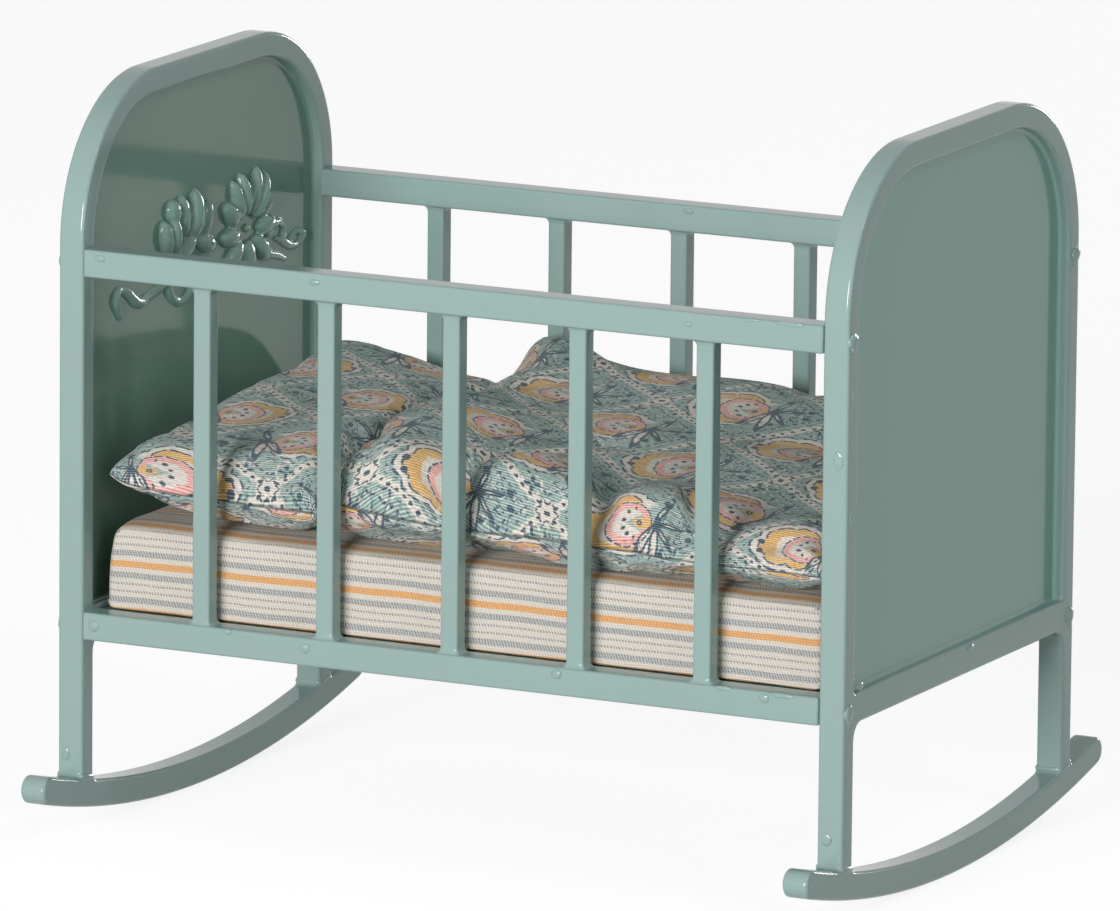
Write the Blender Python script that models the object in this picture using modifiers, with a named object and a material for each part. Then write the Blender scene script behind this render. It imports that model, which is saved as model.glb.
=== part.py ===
import math

import bmesh
import bpy

# Toy rocking cradle: two arched ends on rockers, railed sides, a floor pan and loose bedding.
# Lengths are in metres. X runs from the head end to the foot end, Y across the bed, Z up.
# The origin is on the ground, under the middle of the cradle.

# Overall sizes
cradle_length = 0.135
cradle_width = 0.084
cradle_height = 0.1174

# Bars of the two ends
end_bar_depth = 0.0043
end_bar_width = 0.0039
arch_radius = 0.0245
bed_underside = 0.0308
crossbar_height = 0.0048
corner_fillet = 0.0017

# Rockers
rocker_radius = 0.212
rocker_height = 0.00445
rocker_span = 0.1085

# Sheet panels in the ends
panel_thickness = 0.0006
groove_depth = 0.0006

# Side rails and balusters
rail_size = 0.0044
rail_setback = 0.0002
rail_below_arch = 0.0004
baluster_width = 0.003
baluster_depth = 0.003
baluster_end_room = 0.0202
baluster_flare = 0.0009
baluster_count = 5

# Rivets through the ends into the rails
rivet_head_radius = 0.0015
rivet_head_height = 0.0006
rivet_shank_radius = 0.0009
rivet_grip = 0.0024

# Floor pan
pan_thickness = 0.0008
pan_flange = 0.003
pan_recess = 0.0005

# Bedding
mattress_end_room = 0.0017
mattress_side_room = 0.0004
mattress_height = 0.0138
mattress_crown = 0.0005
mattress_edge = 0.0016
mattress_draw = 0.0004
pillow_length = 0.0366
pillow_inset = 0.0008
pillow_loft = 0.0153
pillow_tilt = 0.0022
pillow_draw = 0.0014
pillow_dip = 0.0024
pillow_overhang = 0.0003
bedding_gap = 0.0009
duvet_inset = 0.0001
duvet_loft = 0.0105
duvet_rise = 0.0062
duvet_roll_loft = 0.0198
duvet_roll_rise = 0.002
duvet_draw = 0.0008
duvet_fold_depth = 0.0034
hem_height = 0.0007

# Shape of the bedding, as shares of its sizes
fullness_shares = (8, 0.42)
flat_under_share = 1.35
pillow_seam_share = 0.45
pillow_dip_shares = (0.35, 0.45)
duvet_seam_share = 0.3
duvet_roll_shares = (-0.72, 0.42)
duvet_fold_shares = (
    (-0.5, 0.06, 0.07, 0.6),
    (0.08, -0.06, 0.09, 0.2),
    (0.56, -0.1, 0.08, 0.1),
)
rivet_dome_shares = ((0.55, 0.86), (0.9, 0.45))

# Fits and finish
joint_gap = 0.0003
soft_gap = 0.0005
edge_radius = 0.0004
cut_overrun = 0.001
weld_distance = 0.000001
flat_angle = math.radians(0.5)
bevel_angle = math.radians(40)
quarter_turn = math.radians(90)

# Counts
arch_steps = 8
rocker_steps = 25
tip_steps = 6
fillet_steps = 3
rivet_steps = 12
edge_segments = 2
pillow_counts = (14, 20)
duvet_counts = (26, 20)
mattress_cuts = 5
draw_power = 5

# Colours
sage = (0.36, 0.48, 0.45, 1.0)
sage_shade = (0.30, 0.42, 0.38, 1.0)
ticking = (0.78, 0.74, 0.68, 1.0)
print_ground = (0.42, 0.52, 0.50, 1.0)
enamel_roughness = 0.3
cloth_roughness = 0.9

# Turns of the flat outlines: across the cradle for an end, along it for a side
turned_across = (quarter_turn, 0.0, quarter_turn)
turned_along = (quarter_turn, 0.0, 0.0)

# Places worked out from the sizes
end_x = cradle_length / 2 - end_bar_depth / 2
end_inner_x = cradle_length / 2 - end_bar_depth
leg_outer_y = cradle_width / 2
leg_inner_y = leg_outer_y - end_bar_width
rail_y = leg_outer_y - rail_setback - rail_size / 2
rail_inner_y = rail_y - rail_size / 2
bottom_rail_z = bed_underside + rail_size / 2
top_rail_top = cradle_height - arch_radius - rail_below_arch
top_rail_z = top_rail_top - rail_size / 2
baluster_pitch = 2 * (end_inner_x - baluster_end_room) / (baluster_count - 1)
bottom_rail_top = bed_underside + rail_size
top_rail_underside = top_rail_top - rail_size
crossbar_top = bed_underside + crossbar_height
pan_top = bottom_rail_top - pan_recess
rocker_tip_reach = (rocker_span - rocker_height) / 2
rocker_half_angle = math.asin(rocker_tip_reach / (rocker_radius - rocker_height / 2))
rocker_step_angle = 2 * rocker_half_angle / rocker_steps
rocker_centre_z = rocker_radius * math.cos(rocker_step_angle / 2)
mattress_length = 2 * (end_inner_x - mattress_end_room)
mattress_width = 2 * (rail_inner_y - mattress_side_room)
mattress_bottom = pan_top + joint_gap
mattress_top = mattress_bottom + mattress_height
pillow_x = -mattress_length / 2 - pillow_overhang + pillow_length / 2
pillow_width = mattress_width - 2 * pillow_inset
pillow_bottom = mattress_top + soft_gap
duvet_length = mattress_length + pillow_overhang - pillow_length - bedding_gap
duvet_width = mattress_width - 2 * duvet_inset
duvet_x = mattress_length / 2 - duvet_length / 2
duvet_bottom = mattress_top + soft_gap


def clear_scene():
    for obj in list(bpy.data.objects):
        bpy.data.objects.remove(obj, do_unlink=True)


def new_collection(name):
    collection = bpy.data.collections.new(name)
    bpy.context.scene.collection.children.link(collection)
    return collection


def new_material(name, colour, roughness):
    material = bpy.data.materials.new(name)
    material.use_nodes = True
    shader = material.node_tree.nodes["Principled BSDF"]
    shader.inputs["Base Color"].default_value = colour
    shader.inputs["Roughness"].default_value = roughness
    material.diffuse_color = colour
    return material


def finish_part(obj, colour, roughness=enamel_roughness):
    obj.data.materials.append(new_material(obj.name + "_finish", colour, roughness))


def mesh_object(name, bm, collection):
    mesh = bpy.data.meshes.new(name)
    bm.to_mesh(mesh)
    bm.free()
    obj = bpy.data.objects.new(name, mesh)
    collection.objects.link(obj)
    return obj


def flat_plate(name, outline, thickness, rotation, location, collection):
    # A flat closed outline, extruded both ways, welded into a mesh
    curve = bpy.data.curves.new(name + "_outline", "CURVE")
    curve.dimensions = "2D"
    curve.fill_mode = "BOTH"
    curve.extrude = thickness / 2
    spline = curve.splines.new("POLY")
    spline.points.add(len(outline) - 1)
    for point, (across, up) in zip(spline.points, outline):
        point.co = (across, up, 0.0, 1.0)
    spline.use_cyclic_u = True
    guide = bpy.data.objects.new(name + "_outline", curve)
    guide.rotation_euler = rotation
    guide.location = location
    collection.objects.link(guide)
    bpy.context.view_layer.update()
    depsgraph = bpy.context.evaluated_depsgraph_get()
    mesh = bpy.data.meshes.new_from_object(guide.evaluated_get(depsgraph))
    mesh.name = name
    bm = bmesh.new()
    bm.from_mesh(mesh)
    bmesh.ops.remove_doubles(bm, verts=bm.verts, dist=weld_distance)
    bmesh.ops.dissolve_limit(bm, angle_limit=flat_angle, verts=bm.verts, edges=bm.edges)
    bmesh.ops.recalc_face_normals(bm, faces=bm.faces)
    bm.to_mesh(mesh)
    bm.free()
    obj = bpy.data.objects.new(name, mesh)
    obj.matrix_world = guide.matrix_world
    collection.objects.link(obj)
    bpy.data.objects.remove(guide, do_unlink=True)
    return obj


def box_part(name, size, location, collection):
    bm = bmesh.new()
    bmesh.ops.create_cube(bm, size=1.0)
    bmesh.ops.scale(bm, vec=size, verts=bm.verts)
    obj = mesh_object(name, bm, collection)
    obj.location = location
    return obj


def round_edges(obj, segments=edge_segments):
    bevel = obj.modifiers.new("rounded_edges", "BEVEL")
    bevel.width = edge_radius
    bevel.segments = segments
    bevel.limit_method = "ANGLE"
    bevel.angle_limit = bevel_angle


def cut(obj, cutter):
    boolean = obj.modifiers.new("cut_" + cutter.name, "BOOLEAN")
    boolean.operation = "DIFFERENCE"
    boolean.object = cutter
    cutter.hide_render = True
    cutter.display_type = "WIRE"


def shade_round(obj):
    obj.data.shade_smooth()
    obj.data.set_sharp_from_angle(angle=bevel_angle)


def arc(centre, radius, start, end, steps):
    # Points on a circle from one angle to another, both ends included
    points = []
    for step in range(steps + 1):
        angle = start + (end - start) * step / steps
        points.append((centre[0] + radius * math.cos(angle), centre[1] + radius * math.sin(angle)))
    return points


def leg_foot_z(y):
    # Height just above the rocker's upper face
    reach = rocker_radius - rocker_height - joint_gap
    return rocker_centre_z - math.sqrt(reach ** 2 - y ** 2)


def arch_outline(half_width, top, radius, foot_points):
    # An arch with round shoulders, run from foot to foot
    points = [foot_points[0]]
    points += arc((half_width - radius, top - radius), radius, 0.0, math.pi / 2, arch_steps)
    points += arc((radius - half_width, top - radius), radius, math.pi / 2, math.pi, arch_steps)
    points.append(foot_points[1])
    return points


def hoop_outline():
    outer_feet = ((leg_outer_y, leg_foot_z(leg_outer_y)), (-leg_outer_y, leg_foot_z(leg_outer_y)))
    inner_feet = ((leg_inner_y, leg_foot_z(leg_inner_y)), (-leg_inner_y, leg_foot_z(leg_inner_y)))
    outer = arch_outline(leg_outer_y, cradle_height, arch_radius, outer_feet)
    inner_top = cradle_height - end_bar_width
    inner = arch_outline(leg_inner_y, inner_top, arch_radius - end_bar_width, inner_feet)
    return outer + inner[::-1]


def panel_outline(depth_in_groove):
    # The sheet's edge, let into the hoop and the crossbar by the given depth
    half_width = leg_inner_y + depth_in_groove
    top = cradle_height - end_bar_width + depth_in_groove
    foot = crossbar_top - depth_in_groove
    radius = arch_radius - end_bar_width + depth_in_groove
    return arch_outline(half_width, top, radius, ((half_width, foot), (-half_width, foot)))


def crossbar_outline():
    # Square on top, with a fillet under each end where it meets the leg
    half = leg_inner_y - joint_gap
    low = bed_underside - corner_fillet
    points = [(half, crossbar_top), (-half, crossbar_top)]
    points += arc((corner_fillet - half, low), corner_fillet, math.pi, math.pi / 2, fillet_steps)
    points += arc((half - corner_fillet, low), corner_fillet, math.pi / 2, 0.0, fillet_steps)
    return points


def rocker_outline():
    # A curved bar with round tips. Its lowest step is level, so it can stand.
    centre = (0.0, rocker_centre_z)
    down = -math.pi / 2
    left_end = down - rocker_half_angle
    right_end = down + rocker_half_angle
    under = arc(centre, rocker_radius, left_end, right_end, rocker_steps)
    over = arc(centre, rocker_radius - rocker_height, right_end, left_end, rocker_steps)
    middle = rocker_radius - rocker_height / 2
    tip_z = rocker_centre_z - middle * math.cos(rocker_half_angle)
    right_tip = (rocker_tip_reach, tip_z)
    left_tip = (-rocker_tip_reach, tip_z)
    right = arc(right_tip, rocker_height / 2, right_end, right_end + math.pi, tip_steps)
    left = arc(left_tip, rocker_height / 2, left_end + math.pi, left_end + 2 * math.pi, tip_steps)
    return under + right[1:-1] + over + left[1:-1]


def baluster_outline():
    # Straight sides that flare into the rail at each end
    half = baluster_width / 2
    low = bottom_rail_top + joint_gap
    high = top_rail_underside - joint_gap
    flare = baluster_flare
    points = arc((half + flare, low + flare), flare, -math.pi / 2, -math.pi, fillet_steps)
    points += arc((half + flare, high - flare), flare, math.pi, math.pi / 2, fillet_steps)
    points += arc((-half - flare, high - flare), flare, math.pi / 2, 0.0, fillet_steps)
    points += arc((-half - flare, low + flare), flare, 0.0, -math.pi / 2, fillet_steps)
    return points


def pan_outline():
    # A flat tray with its long edges turned down along the rails
    half = rail_inner_y - joint_gap
    low = pan_top - pan_flange
    inner = half - pan_thickness
    return [
        (half, low),
        (half, pan_top),
        (-half, pan_top),
        (-half, low),
        (-inner, low),
        (-inner, pan_top - pan_thickness),
        (inner, pan_top - pan_thickness),
        (inner, low),
    ]


def make_end(name, side, parts, cutters):
    # Hoop with legs, crossbar, rocker and sheet panel of one end
    place = (side * end_x, 0.0, 0.0)
    hoop = flat_plate(name + "_hoop", hoop_outline(), end_bar_depth, turned_across, place, parts)
    crossbar = flat_plate(
        name + "_crossbar", crossbar_outline(), end_bar_depth, turned_across, place, parts)
    rocker = flat_plate(
        name + "_rocker", rocker_outline(), end_bar_depth, turned_across, place, parts)
    sheet = panel_outline(groove_depth - joint_gap)
    panel = flat_plate(name + "_panel", sheet, panel_thickness, turned_across, place, parts)
    groove_width = panel_thickness + 2 * joint_gap
    groove = flat_plate(
        name + "_groove", panel_outline(groove_depth), groove_width, turned_across, place, cutters)
    for bar in (hoop, crossbar, rocker):
        round_edges(bar)
        finish_part(bar, sage)
    for bar in (hoop, crossbar):
        cut(bar, groove)
    for level in (bottom_rail_z, top_rail_z):
        for across in (-1, 1):
            bore_place = (side * end_x, across * rail_y, level)
            cut(hoop, rivet_bore(name + "_bore", end_bar_depth, bore_place, cutters))
    finish_part(panel, sage_shade)


def rivet_bore(name, depth, location, cutters):
    # A round cutter along X, a little longer than the wall it goes through
    bm = bmesh.new()
    bmesh.ops.create_cone(
        bm,
        cap_ends=True,
        segments=rivet_steps,
        radius1=rivet_shank_radius + joint_gap,
        radius2=rivet_shank_radius + joint_gap,
        depth=depth + 2 * cut_overrun,
    )
    cutter = mesh_object(name, bm, cutters)
    cutter.rotation_euler = (0.0, quarter_turn, 0.0)
    cutter.location = location
    return cutter


def make_rail(name, side, level, parts, cutters):
    length = 2 * (end_inner_x - joint_gap)
    size = (length, rail_size, rail_size)
    rail = box_part(name, size, (0.0, side * rail_y, level), parts)
    round_edges(rail)
    hole_depth = rivet_grip + joint_gap
    for end in (-1, 1):
        place = (end * (length / 2 - hole_depth / 2 + cut_overrun), side * rail_y, level)
        cut(rail, rivet_bore(name + "_bore", hole_depth, place, cutters))
    finish_part(rail, sage)


def make_side(name, side, parts, cutters):
    make_rail(name + "_top_rail", side, top_rail_z, parts, cutters)
    make_rail(name + "_bottom_rail", side, bottom_rail_z, parts, cutters)
    for index in range(baluster_count):
        x = (index - (baluster_count - 1) / 2) * baluster_pitch
        label = "{}_baluster_{}".format(name, index + 1)
        place = (x, side * rail_y, 0.0)
        baluster = flat_plate(
            label, baluster_outline(), baluster_depth, turned_along, place, parts)
        round_edges(baluster, segments=1)
        finish_part(baluster, sage)


def make_rivet(name, end, side, level, parts):
    # A low domed head and a shank, turned about X
    head_low = joint_gap
    shank = joint_gap + end_bar_depth + rivet_grip
    profile = [(0.0, head_low + rivet_head_height)]
    for share_out, share_up in rivet_dome_shares:
        profile.append((rivet_head_radius * share_out, head_low + rivet_head_height * share_up))
    profile.append((rivet_head_radius, head_low))
    profile.append((rivet_shank_radius, head_low))
    profile.append((rivet_shank_radius, head_low - shank))
    profile.append((0.0, head_low - shank))
    bm = bmesh.new()
    verts = [bm.verts.new((out, 0.0, up)) for out, up in profile]
    for first, second in zip(verts, verts[1:]):
        bm.edges.new((first, second))
    rivet = mesh_object(name, bm, parts)
    turn = rivet.modifiers.new("turned", "SCREW")
    turn.steps = rivet_steps
    turn.render_steps = rivet_steps
    turn.use_merge_vertices = True
    turn.merge_threshold = weld_distance
    rivet.rotation_euler = (0.0, end * quarter_turn, 0.0)
    rivet.location = (end * cradle_length / 2, side * rail_y, level)
    finish_part(rivet, sage)


def make_pan(parts):
    length = 2 * (end_inner_x - joint_gap)
    pan = flat_plate("floor_pan", pan_outline(), length, turned_across, (0.0, 0.0, 0.0), parts)
    finish_part(pan, sage_shade)


def smooth_step(value):
    value = min(max(value, 0.0), 1.0)
    return value * value * (3 - 2 * value)


def fullness(share_x, share_y):
    # 1 in the middle of a stuffed form, 0 on its seam
    order, power = fullness_shares
    inside = max(1 - share_x ** order, 0.0) * max(1 - share_y ** order, 0.0)
    return inside ** power


def pillow_heights(share_x, share_y):
    # Lower and upper face over the mattress, at shares of the half length and half width
    seam = pillow_loft * pillow_seam_share
    full = fullness(share_x, share_y)
    dip_place, dip_spread = pillow_dip_shares
    dip = pillow_dip * math.exp(-((share_x - dip_place) / dip_spread) ** 2)
    upper = seam + (pillow_loft + pillow_tilt * share_y - dip - seam) * full
    lower = max(seam * (1 - flat_under_share * full), 0.0)
    return lower, upper


def duvet_heights(share_x, share_y):
    # Turned back double at its head end, then thinner, rising towards the back
    full = fullness(share_x, share_y)
    seam = duvet_loft * duvet_seam_share
    single = duvet_loft + duvet_rise * (share_y + 1) / 2
    roll_start, roll_fade = duvet_roll_shares
    single_part = smooth_step((share_x - roll_start) / roll_fade)
    doubled = duvet_roll_loft + duvet_roll_rise * (share_y + 1) / 2
    height = doubled + (single - doubled) * single_part
    for fold_x, slant, spread, fold_back in duvet_fold_shares:
        centre = fold_x + slant * (share_y + 1)
        reach = smooth_step(fold_back - share_y)
        height -= duvet_fold_depth * reach * math.exp(-((share_x - centre) / spread) ** 2)
    upper = seam + (height - seam) * full
    lower = max(seam * (1 - flat_under_share * full), 0.0)
    return lower, upper


def make_stuffed(name, size, centre_x, base, draw, heights, counts, parts):
    # A sheet of quads made into a closed form: upper face, lower face and a thin hem between them
    half_x = size[0] / 2
    half_y = size[1] / 2
    bm = bmesh.new()
    bmesh.ops.create_grid(bm, x_segments=counts[0], y_segments=counts[1], size=1.0)
    lower_faces = list(bm.faces)
    grown = bmesh.ops.extrude_face_region(bm, geom=lower_faces)
    upper_verts = {item for item in grown["geom"] if isinstance(item, bmesh.types.BMVert)}
    for vert in bm.verts:
        share_x = math.sin(vert.co.x * math.pi / 2)
        share_y = math.sin(vert.co.y * math.pi / 2)
        lower, upper = heights(share_x, share_y)
        draw_x = draw * (1 - share_y ** 2) * share_x ** draw_power
        draw_y = draw * (1 - share_x ** 2) * share_y ** draw_power
        vert.co.x = centre_x + share_x * half_x - draw_x
        vert.co.y = share_y * half_y - draw_y
        vert.co.z = base + (upper + hem_height if vert in upper_verts else lower)
    bmesh.ops.recalc_face_normals(bm, faces=bm.faces)
    stuffed = mesh_object(name, bm, parts)
    finish_part(stuffed, print_ground, cloth_roughness)
    shade_round(stuffed)


def make_pillow(parts):
    size = (pillow_length, pillow_width)
    make_stuffed("pillow", size, pillow_x, pillow_bottom, pillow_draw, pillow_heights,
                 pillow_counts, parts)


def make_duvet(parts):
    size = (duvet_length, duvet_width)
    make_stuffed("duvet", size, duvet_x, duvet_bottom, duvet_draw, duvet_heights,
                 duvet_counts, parts)


def make_mattress(parts):
    # A foam block in a fitted cover: rounded edges, a slight crown and slightly drawn-in sides
    size = (mattress_length, mattress_width, mattress_height)
    bm = bmesh.new()
    bmesh.ops.create_cube(bm, size=1.0)
    bmesh.ops.scale(bm, vec=size, verts=bm.verts)
    bmesh.ops.bevel(bm, geom=bm.edges[:], offset=mattress_edge, offset_type="OFFSET",
                    segments=edge_segments, profile=0.5, affect="EDGES", clamp_overlap=True)
    for axis, length in ((0, mattress_length), (1, mattress_width)):
        for index in range(mattress_cuts):
            place = length * ((index + 1) / (mattress_cuts + 1) - 0.5)
            point = [0.0, 0.0, 0.0]
            normal = [0.0, 0.0, 0.0]
            point[axis] = place
            normal[axis] = 1.0
            bmesh.ops.bisect_plane(bm, geom=bm.verts[:] + bm.edges[:] + bm.faces[:],
                                   dist=weld_distance, plane_co=point, plane_no=normal)
    for vert in bm.verts:
        share_x = vert.co.x / (mattress_length / 2)
        share_y = vert.co.y / (mattress_width / 2)
        middle = max(1 - share_x ** 2, 0.0) * max(1 - share_y ** 2, 0.0)
        if vert.co.z > 0:
            vert.co.z += mattress_crown * middle
        vert.co.x -= mattress_draw * share_x * (1 - share_y ** 2)
        vert.co.y -= mattress_draw * share_y * (1 - share_x ** 2)
    mattress = mesh_object("mattress", bm, parts)
    mattress.location = (0.0, 0.0, mattress_bottom + mattress_height / 2)
    finish_part(mattress, ticking, cloth_roughness)
    shade_round(mattress)


def make_cradle():
    clear_scene()
    parts = new_collection("doll_cradle")
    cutters = new_collection("doll_cradle_cutters")
    make_end("head", -1, parts, cutters)
    make_end("foot", 1, parts, cutters)
    make_side("front", -1, parts, cutters)
    make_side("back", 1, parts, cutters)
    make_pan(parts)
    levels = (("bottom", bottom_rail_z), ("top", top_rail_z))
    for end_name, end in (("head", -1), ("foot", 1)):
        for side_name, side in (("front", -1), ("back", 1)):
            for level_name, level in levels:
                label = "{}_{}_{}_rivet".format(end_name, side_name, level_name)
                make_rivet(label, end, side, level, parts)
    make_mattress(parts)
    make_pillow(parts)
    make_duvet(parts)


make_cradle()
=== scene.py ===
import functools
import math

import bmesh
import bpy
from mathutils import Matrix, Vector, noise


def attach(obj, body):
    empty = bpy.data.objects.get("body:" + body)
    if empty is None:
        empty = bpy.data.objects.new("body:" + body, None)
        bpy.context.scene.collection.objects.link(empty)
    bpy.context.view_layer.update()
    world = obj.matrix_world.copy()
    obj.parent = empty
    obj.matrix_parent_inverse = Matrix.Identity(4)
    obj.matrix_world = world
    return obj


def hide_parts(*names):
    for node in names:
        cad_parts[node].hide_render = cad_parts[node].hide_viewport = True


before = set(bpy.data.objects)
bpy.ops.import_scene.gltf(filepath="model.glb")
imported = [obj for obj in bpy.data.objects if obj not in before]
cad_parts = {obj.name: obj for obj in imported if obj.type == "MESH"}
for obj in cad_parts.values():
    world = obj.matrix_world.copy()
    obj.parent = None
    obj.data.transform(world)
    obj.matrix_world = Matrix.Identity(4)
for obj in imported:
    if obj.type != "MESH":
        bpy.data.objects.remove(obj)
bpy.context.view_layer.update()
scene = bpy.context.scene
scene.view_settings.view_transform = "Standard"

# The cradle's own sizes in metres, as the solid model has them
cradle = {
    "length": 0.135,
    "width": 0.084,
    "height": 0.1174,
    "barDepth": 0.0043,
    "barWidth": 0.0039,
    "archRadius": 0.0245,
    "bedUnderside": 0.0308,
    "crossbarTop": 0.0356,
    "railSize": 0.0044,
    "railFace": 0.0418,
    "topRailTop": 0.0925,
    "panelThickness": 0.0006,
}
endX = (cradle["length"] - cradle["barDepth"]) / 2
legOuterY = cradle["width"] / 2
legInnerY = legOuterY - cradle["barWidth"]
railY = cradle["railFace"] - cradle["railSize"] / 2


# Node helpers. Each takes its node tree from the sockets it is given.
def treeOf(*values):
    return next(value.id_data for value in values if isinstance(value, bpy.types.NodeSocket))


def feed(socket, value):
    if isinstance(value, bpy.types.NodeSocket):
        socket.id_data.links.new(value, socket)
    else:
        socket.default_value = value


def setInputs(node, values):
    for key, value in values.items():
        feed(node.inputs[key], value)


def addNode(tree, kind, settings=None, inputs=None):
    made = tree.nodes.new("ShaderNode" + kind)
    for key, value in (settings or {}).items():
        setattr(made, key, value)
    setInputs(made, inputs or {})
    return made


def maths(operation, *values):
    made = addNode(treeOf(*values), "Math", {"operation": operation})
    for socket, value in zip(made.inputs, values):
        feed(socket, value)
    return made.outputs[0]


add, less, times, over, most = (functools.partial(maths, operation) for operation in (
    "ADD", "SUBTRACT", "MULTIPLY", "DIVIDE", "MAXIMUM"))
timesAdd, sine, cosine, positive = (functools.partial(maths, operation) for operation in (
    "MULTIPLY_ADD", "SINE", "COSINE", "ABSOLUTE"))


def wrap(value, half):
    # folds the value into one repeat about zero
    return maths("WRAP", value, half, -half)


def lengthOf(x, y):
    return maths("SQRT", add(times(x, x), times(y, y)))


def mixColour(amount, first, second, blend="MIX"):
    made = addNode(treeOf(amount, first, second), "Mix", {"data_type": "RGBA", "blend_type": blend},
                   {0: amount, 6: first, 7: second})
    return made.outputs[2]


def dim(colour, share):
    # a colour times a grey
    grey = addNode(treeOf(share), "CombineColor", None, {0: share, 1: share, 2: share})
    return mixColour(1.0, colour, grey.outputs[0], "MULTIPLY")


def rampBetween(value, low, high):
    # 0 below low, 1 above high, smooth between
    made = addNode(treeOf(value), "MapRange", {"interpolation_type": "SMOOTHSTEP"},
                   {"Value": value, "From Min": low, "From Max": high})
    return made.outputs[0]


def inside(value, edge, soft=0.12):
    # 1 below the edge, fading over soft
    return rampBetween(less(value, edge), soft / 2, -soft / 2)


def band(value, centre, halfWidth, soft=0.12):
    # 1 within halfWidth of the centre, fading over soft
    return rampBetween(positive(less(value, centre)), halfWidth + soft / 2, halfWidth - soft / 2)


def either(*masks):
    return functools.reduce(most, masks)


def both(*masks):
    return functools.reduce(times, masks)


def noiseAt(vector, scale, detail, roughness=0.5):
    return addNode(treeOf(vector), "TexNoise", None, {"Vector": vector, "Scale": scale, "Detail": detail,
                                                      "Roughness": roughness}).outputs


def scaled(vector, factor):
    made = addNode(treeOf(vector), "VectorMath", {"operation": "SCALE"}, {0: vector, "Scale": factor})
    return made.outputs[0]


def partsOf(vector):
    return addNode(treeOf(vector), "SeparateXYZ", None, {0: vector}).outputs


def cutPlace(tree, layer):
    # place on the flat cut of a cloth, in millimetres
    return scaled(addNode(tree, "UVMap", {"uv_map": layer}).outputs[0], 1000.0)


def useGroup(tree, group, inputs):
    return addNode(tree, "Group", {"node_tree": group}, inputs).outputs


def newGroup(name, inputs, outputs):
    group = bpy.data.node_groups.new(name, "ShaderNodeTree")
    for label, kind, value in inputs:
        socket = group.interface.new_socket(label, in_out="INPUT", socket_type=kind)
        if value is not None:
            socket.default_value = value
    for label, kind in outputs:
        group.interface.new_socket(label, in_out="OUTPUT", socket_type=kind)
    source = group.nodes.new("NodeGroupInput")
    sink = group.nodes.new("NodeGroupOutput")
    return group, source.outputs, sink.inputs


def newMaterial(name, viewColour):
    material = bpy.data.materials.new(name)
    material.use_nodes = True
    material.diffuse_color = viewColour
    tree = material.node_tree
    return material, tree, tree.nodes["Principled BSDF"]


# Enamel
enamelLook = {
    "colour": (0.264, 0.386, 0.362, 1.0),
    # painted shade: the panel paint made darker for the head panel's shaded inner face and the pan
    "shadedPanelColour": (0.176, 0.318, 0.256, 1.0),
    # painted light: the same panel paint made lighter for the foot panel's lit outer face
    "litPanelColour": (0.240, 0.426, 0.371, 1.0),
    # painted light: the relief's paint made lighter, as its petals catch the light
    "litReliefColour": (0.235, 0.400, 0.335, 1.0),
    "roughness": 0.10,
    "ior": 1.45,
    "specular": 0.44,
    "mottle": 0.05,
    "peelDepth": 0.000012,
    "speck": (0.05, 0.08, 0.07, 1.0),
    "panelGloss": 0.08,
}


def makeEnamelGroup():
    group, given, result = newGroup(
        "enamelSurface",
        [("Paint", "NodeSocketColor", enamelLook["colour"]),
         ("Mottle", "NodeSocketFloat", enamelLook["mottle"]),
         ("Gloss", "NodeSocketFloat", enamelLook["roughness"])],
        [("Color", "NodeSocketColor"), ("Roughness", "NodeSocketFloat"), ("Height", "NodeSocketFloat")])
    place = addNode(group, "TexCoord").outputs["Object"]
    cloud = noiseAt(place, 55.0, 3.0, 0.55)[0]
    painted = dim(given["Paint"], timesAdd(less(cloud, 0.5), given["Mottle"], 1.0))
    # rare dark specks, each a small pit
    specks = addNode(group, "TexVoronoi", None, {"Vector": place, "Scale": 150.0}).outputs
    chance = addNode(group, "SeparateColor", None, {0: specks["Color"]}).outputs[0]
    pit = times(maths("GREATER_THAN", chance, 0.965), maths("LESS_THAN", specks["Distance"], 0.035))
    feed(result["Color"], mixColour(times(pit, 0.75), painted, enamelLook["speck"]))
    # the paint's slow sags and fine peel
    sag = noiseAt(place, 110.0, 1.0, 0.4)[0]
    peel = noiseAt(place, 420.0, 1.5, 0.4)[0]
    feed(result["Height"], less(timesAdd(sag, 1.6, times(peel, 0.35)), times(pit, 2.0)))
    feed(result["Roughness"], timesAdd(cloud, 0.05, given["Gloss"]))
    return group


enamelGroup = makeEnamelGroup()


def makeEnamel(name, colour, gloss):
    material, tree, shader = newMaterial(name, colour)
    surface = useGroup(tree, enamelGroup, {"Paint": colour, "Mottle": enamelLook["mottle"], "Gloss": gloss})
    bump = addNode(tree, "Bump", None, {"Height": surface["Height"], "Strength": 1.0,
                                        "Distance": enamelLook["peelDepth"]})
    setInputs(shader, {"Base Color": surface["Color"], "Roughness": surface["Roughness"],
                       "Normal": bump.outputs[0], "IOR": enamelLook["ior"],
                       "Specular IOR Level": enamelLook["specular"]})
    return material


frameEnamel = makeEnamel("frameEnamel", enamelLook["colour"], enamelLook["roughness"])
# the panel and relief paints here are made darker or lighter as painted shade and painted light
shadedPanelEnamel = makeEnamel("shadedPanelEnamel", enamelLook["shadedPanelColour"], enamelLook["panelGloss"])
litPanelEnamel = makeEnamel("litPanelEnamel", enamelLook["litPanelColour"], enamelLook["roughness"])
litReliefEnamel = makeEnamel("litReliefEnamel", enamelLook["litReliefColour"], enamelLook["panelGloss"])
print("enamel ready")


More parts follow.
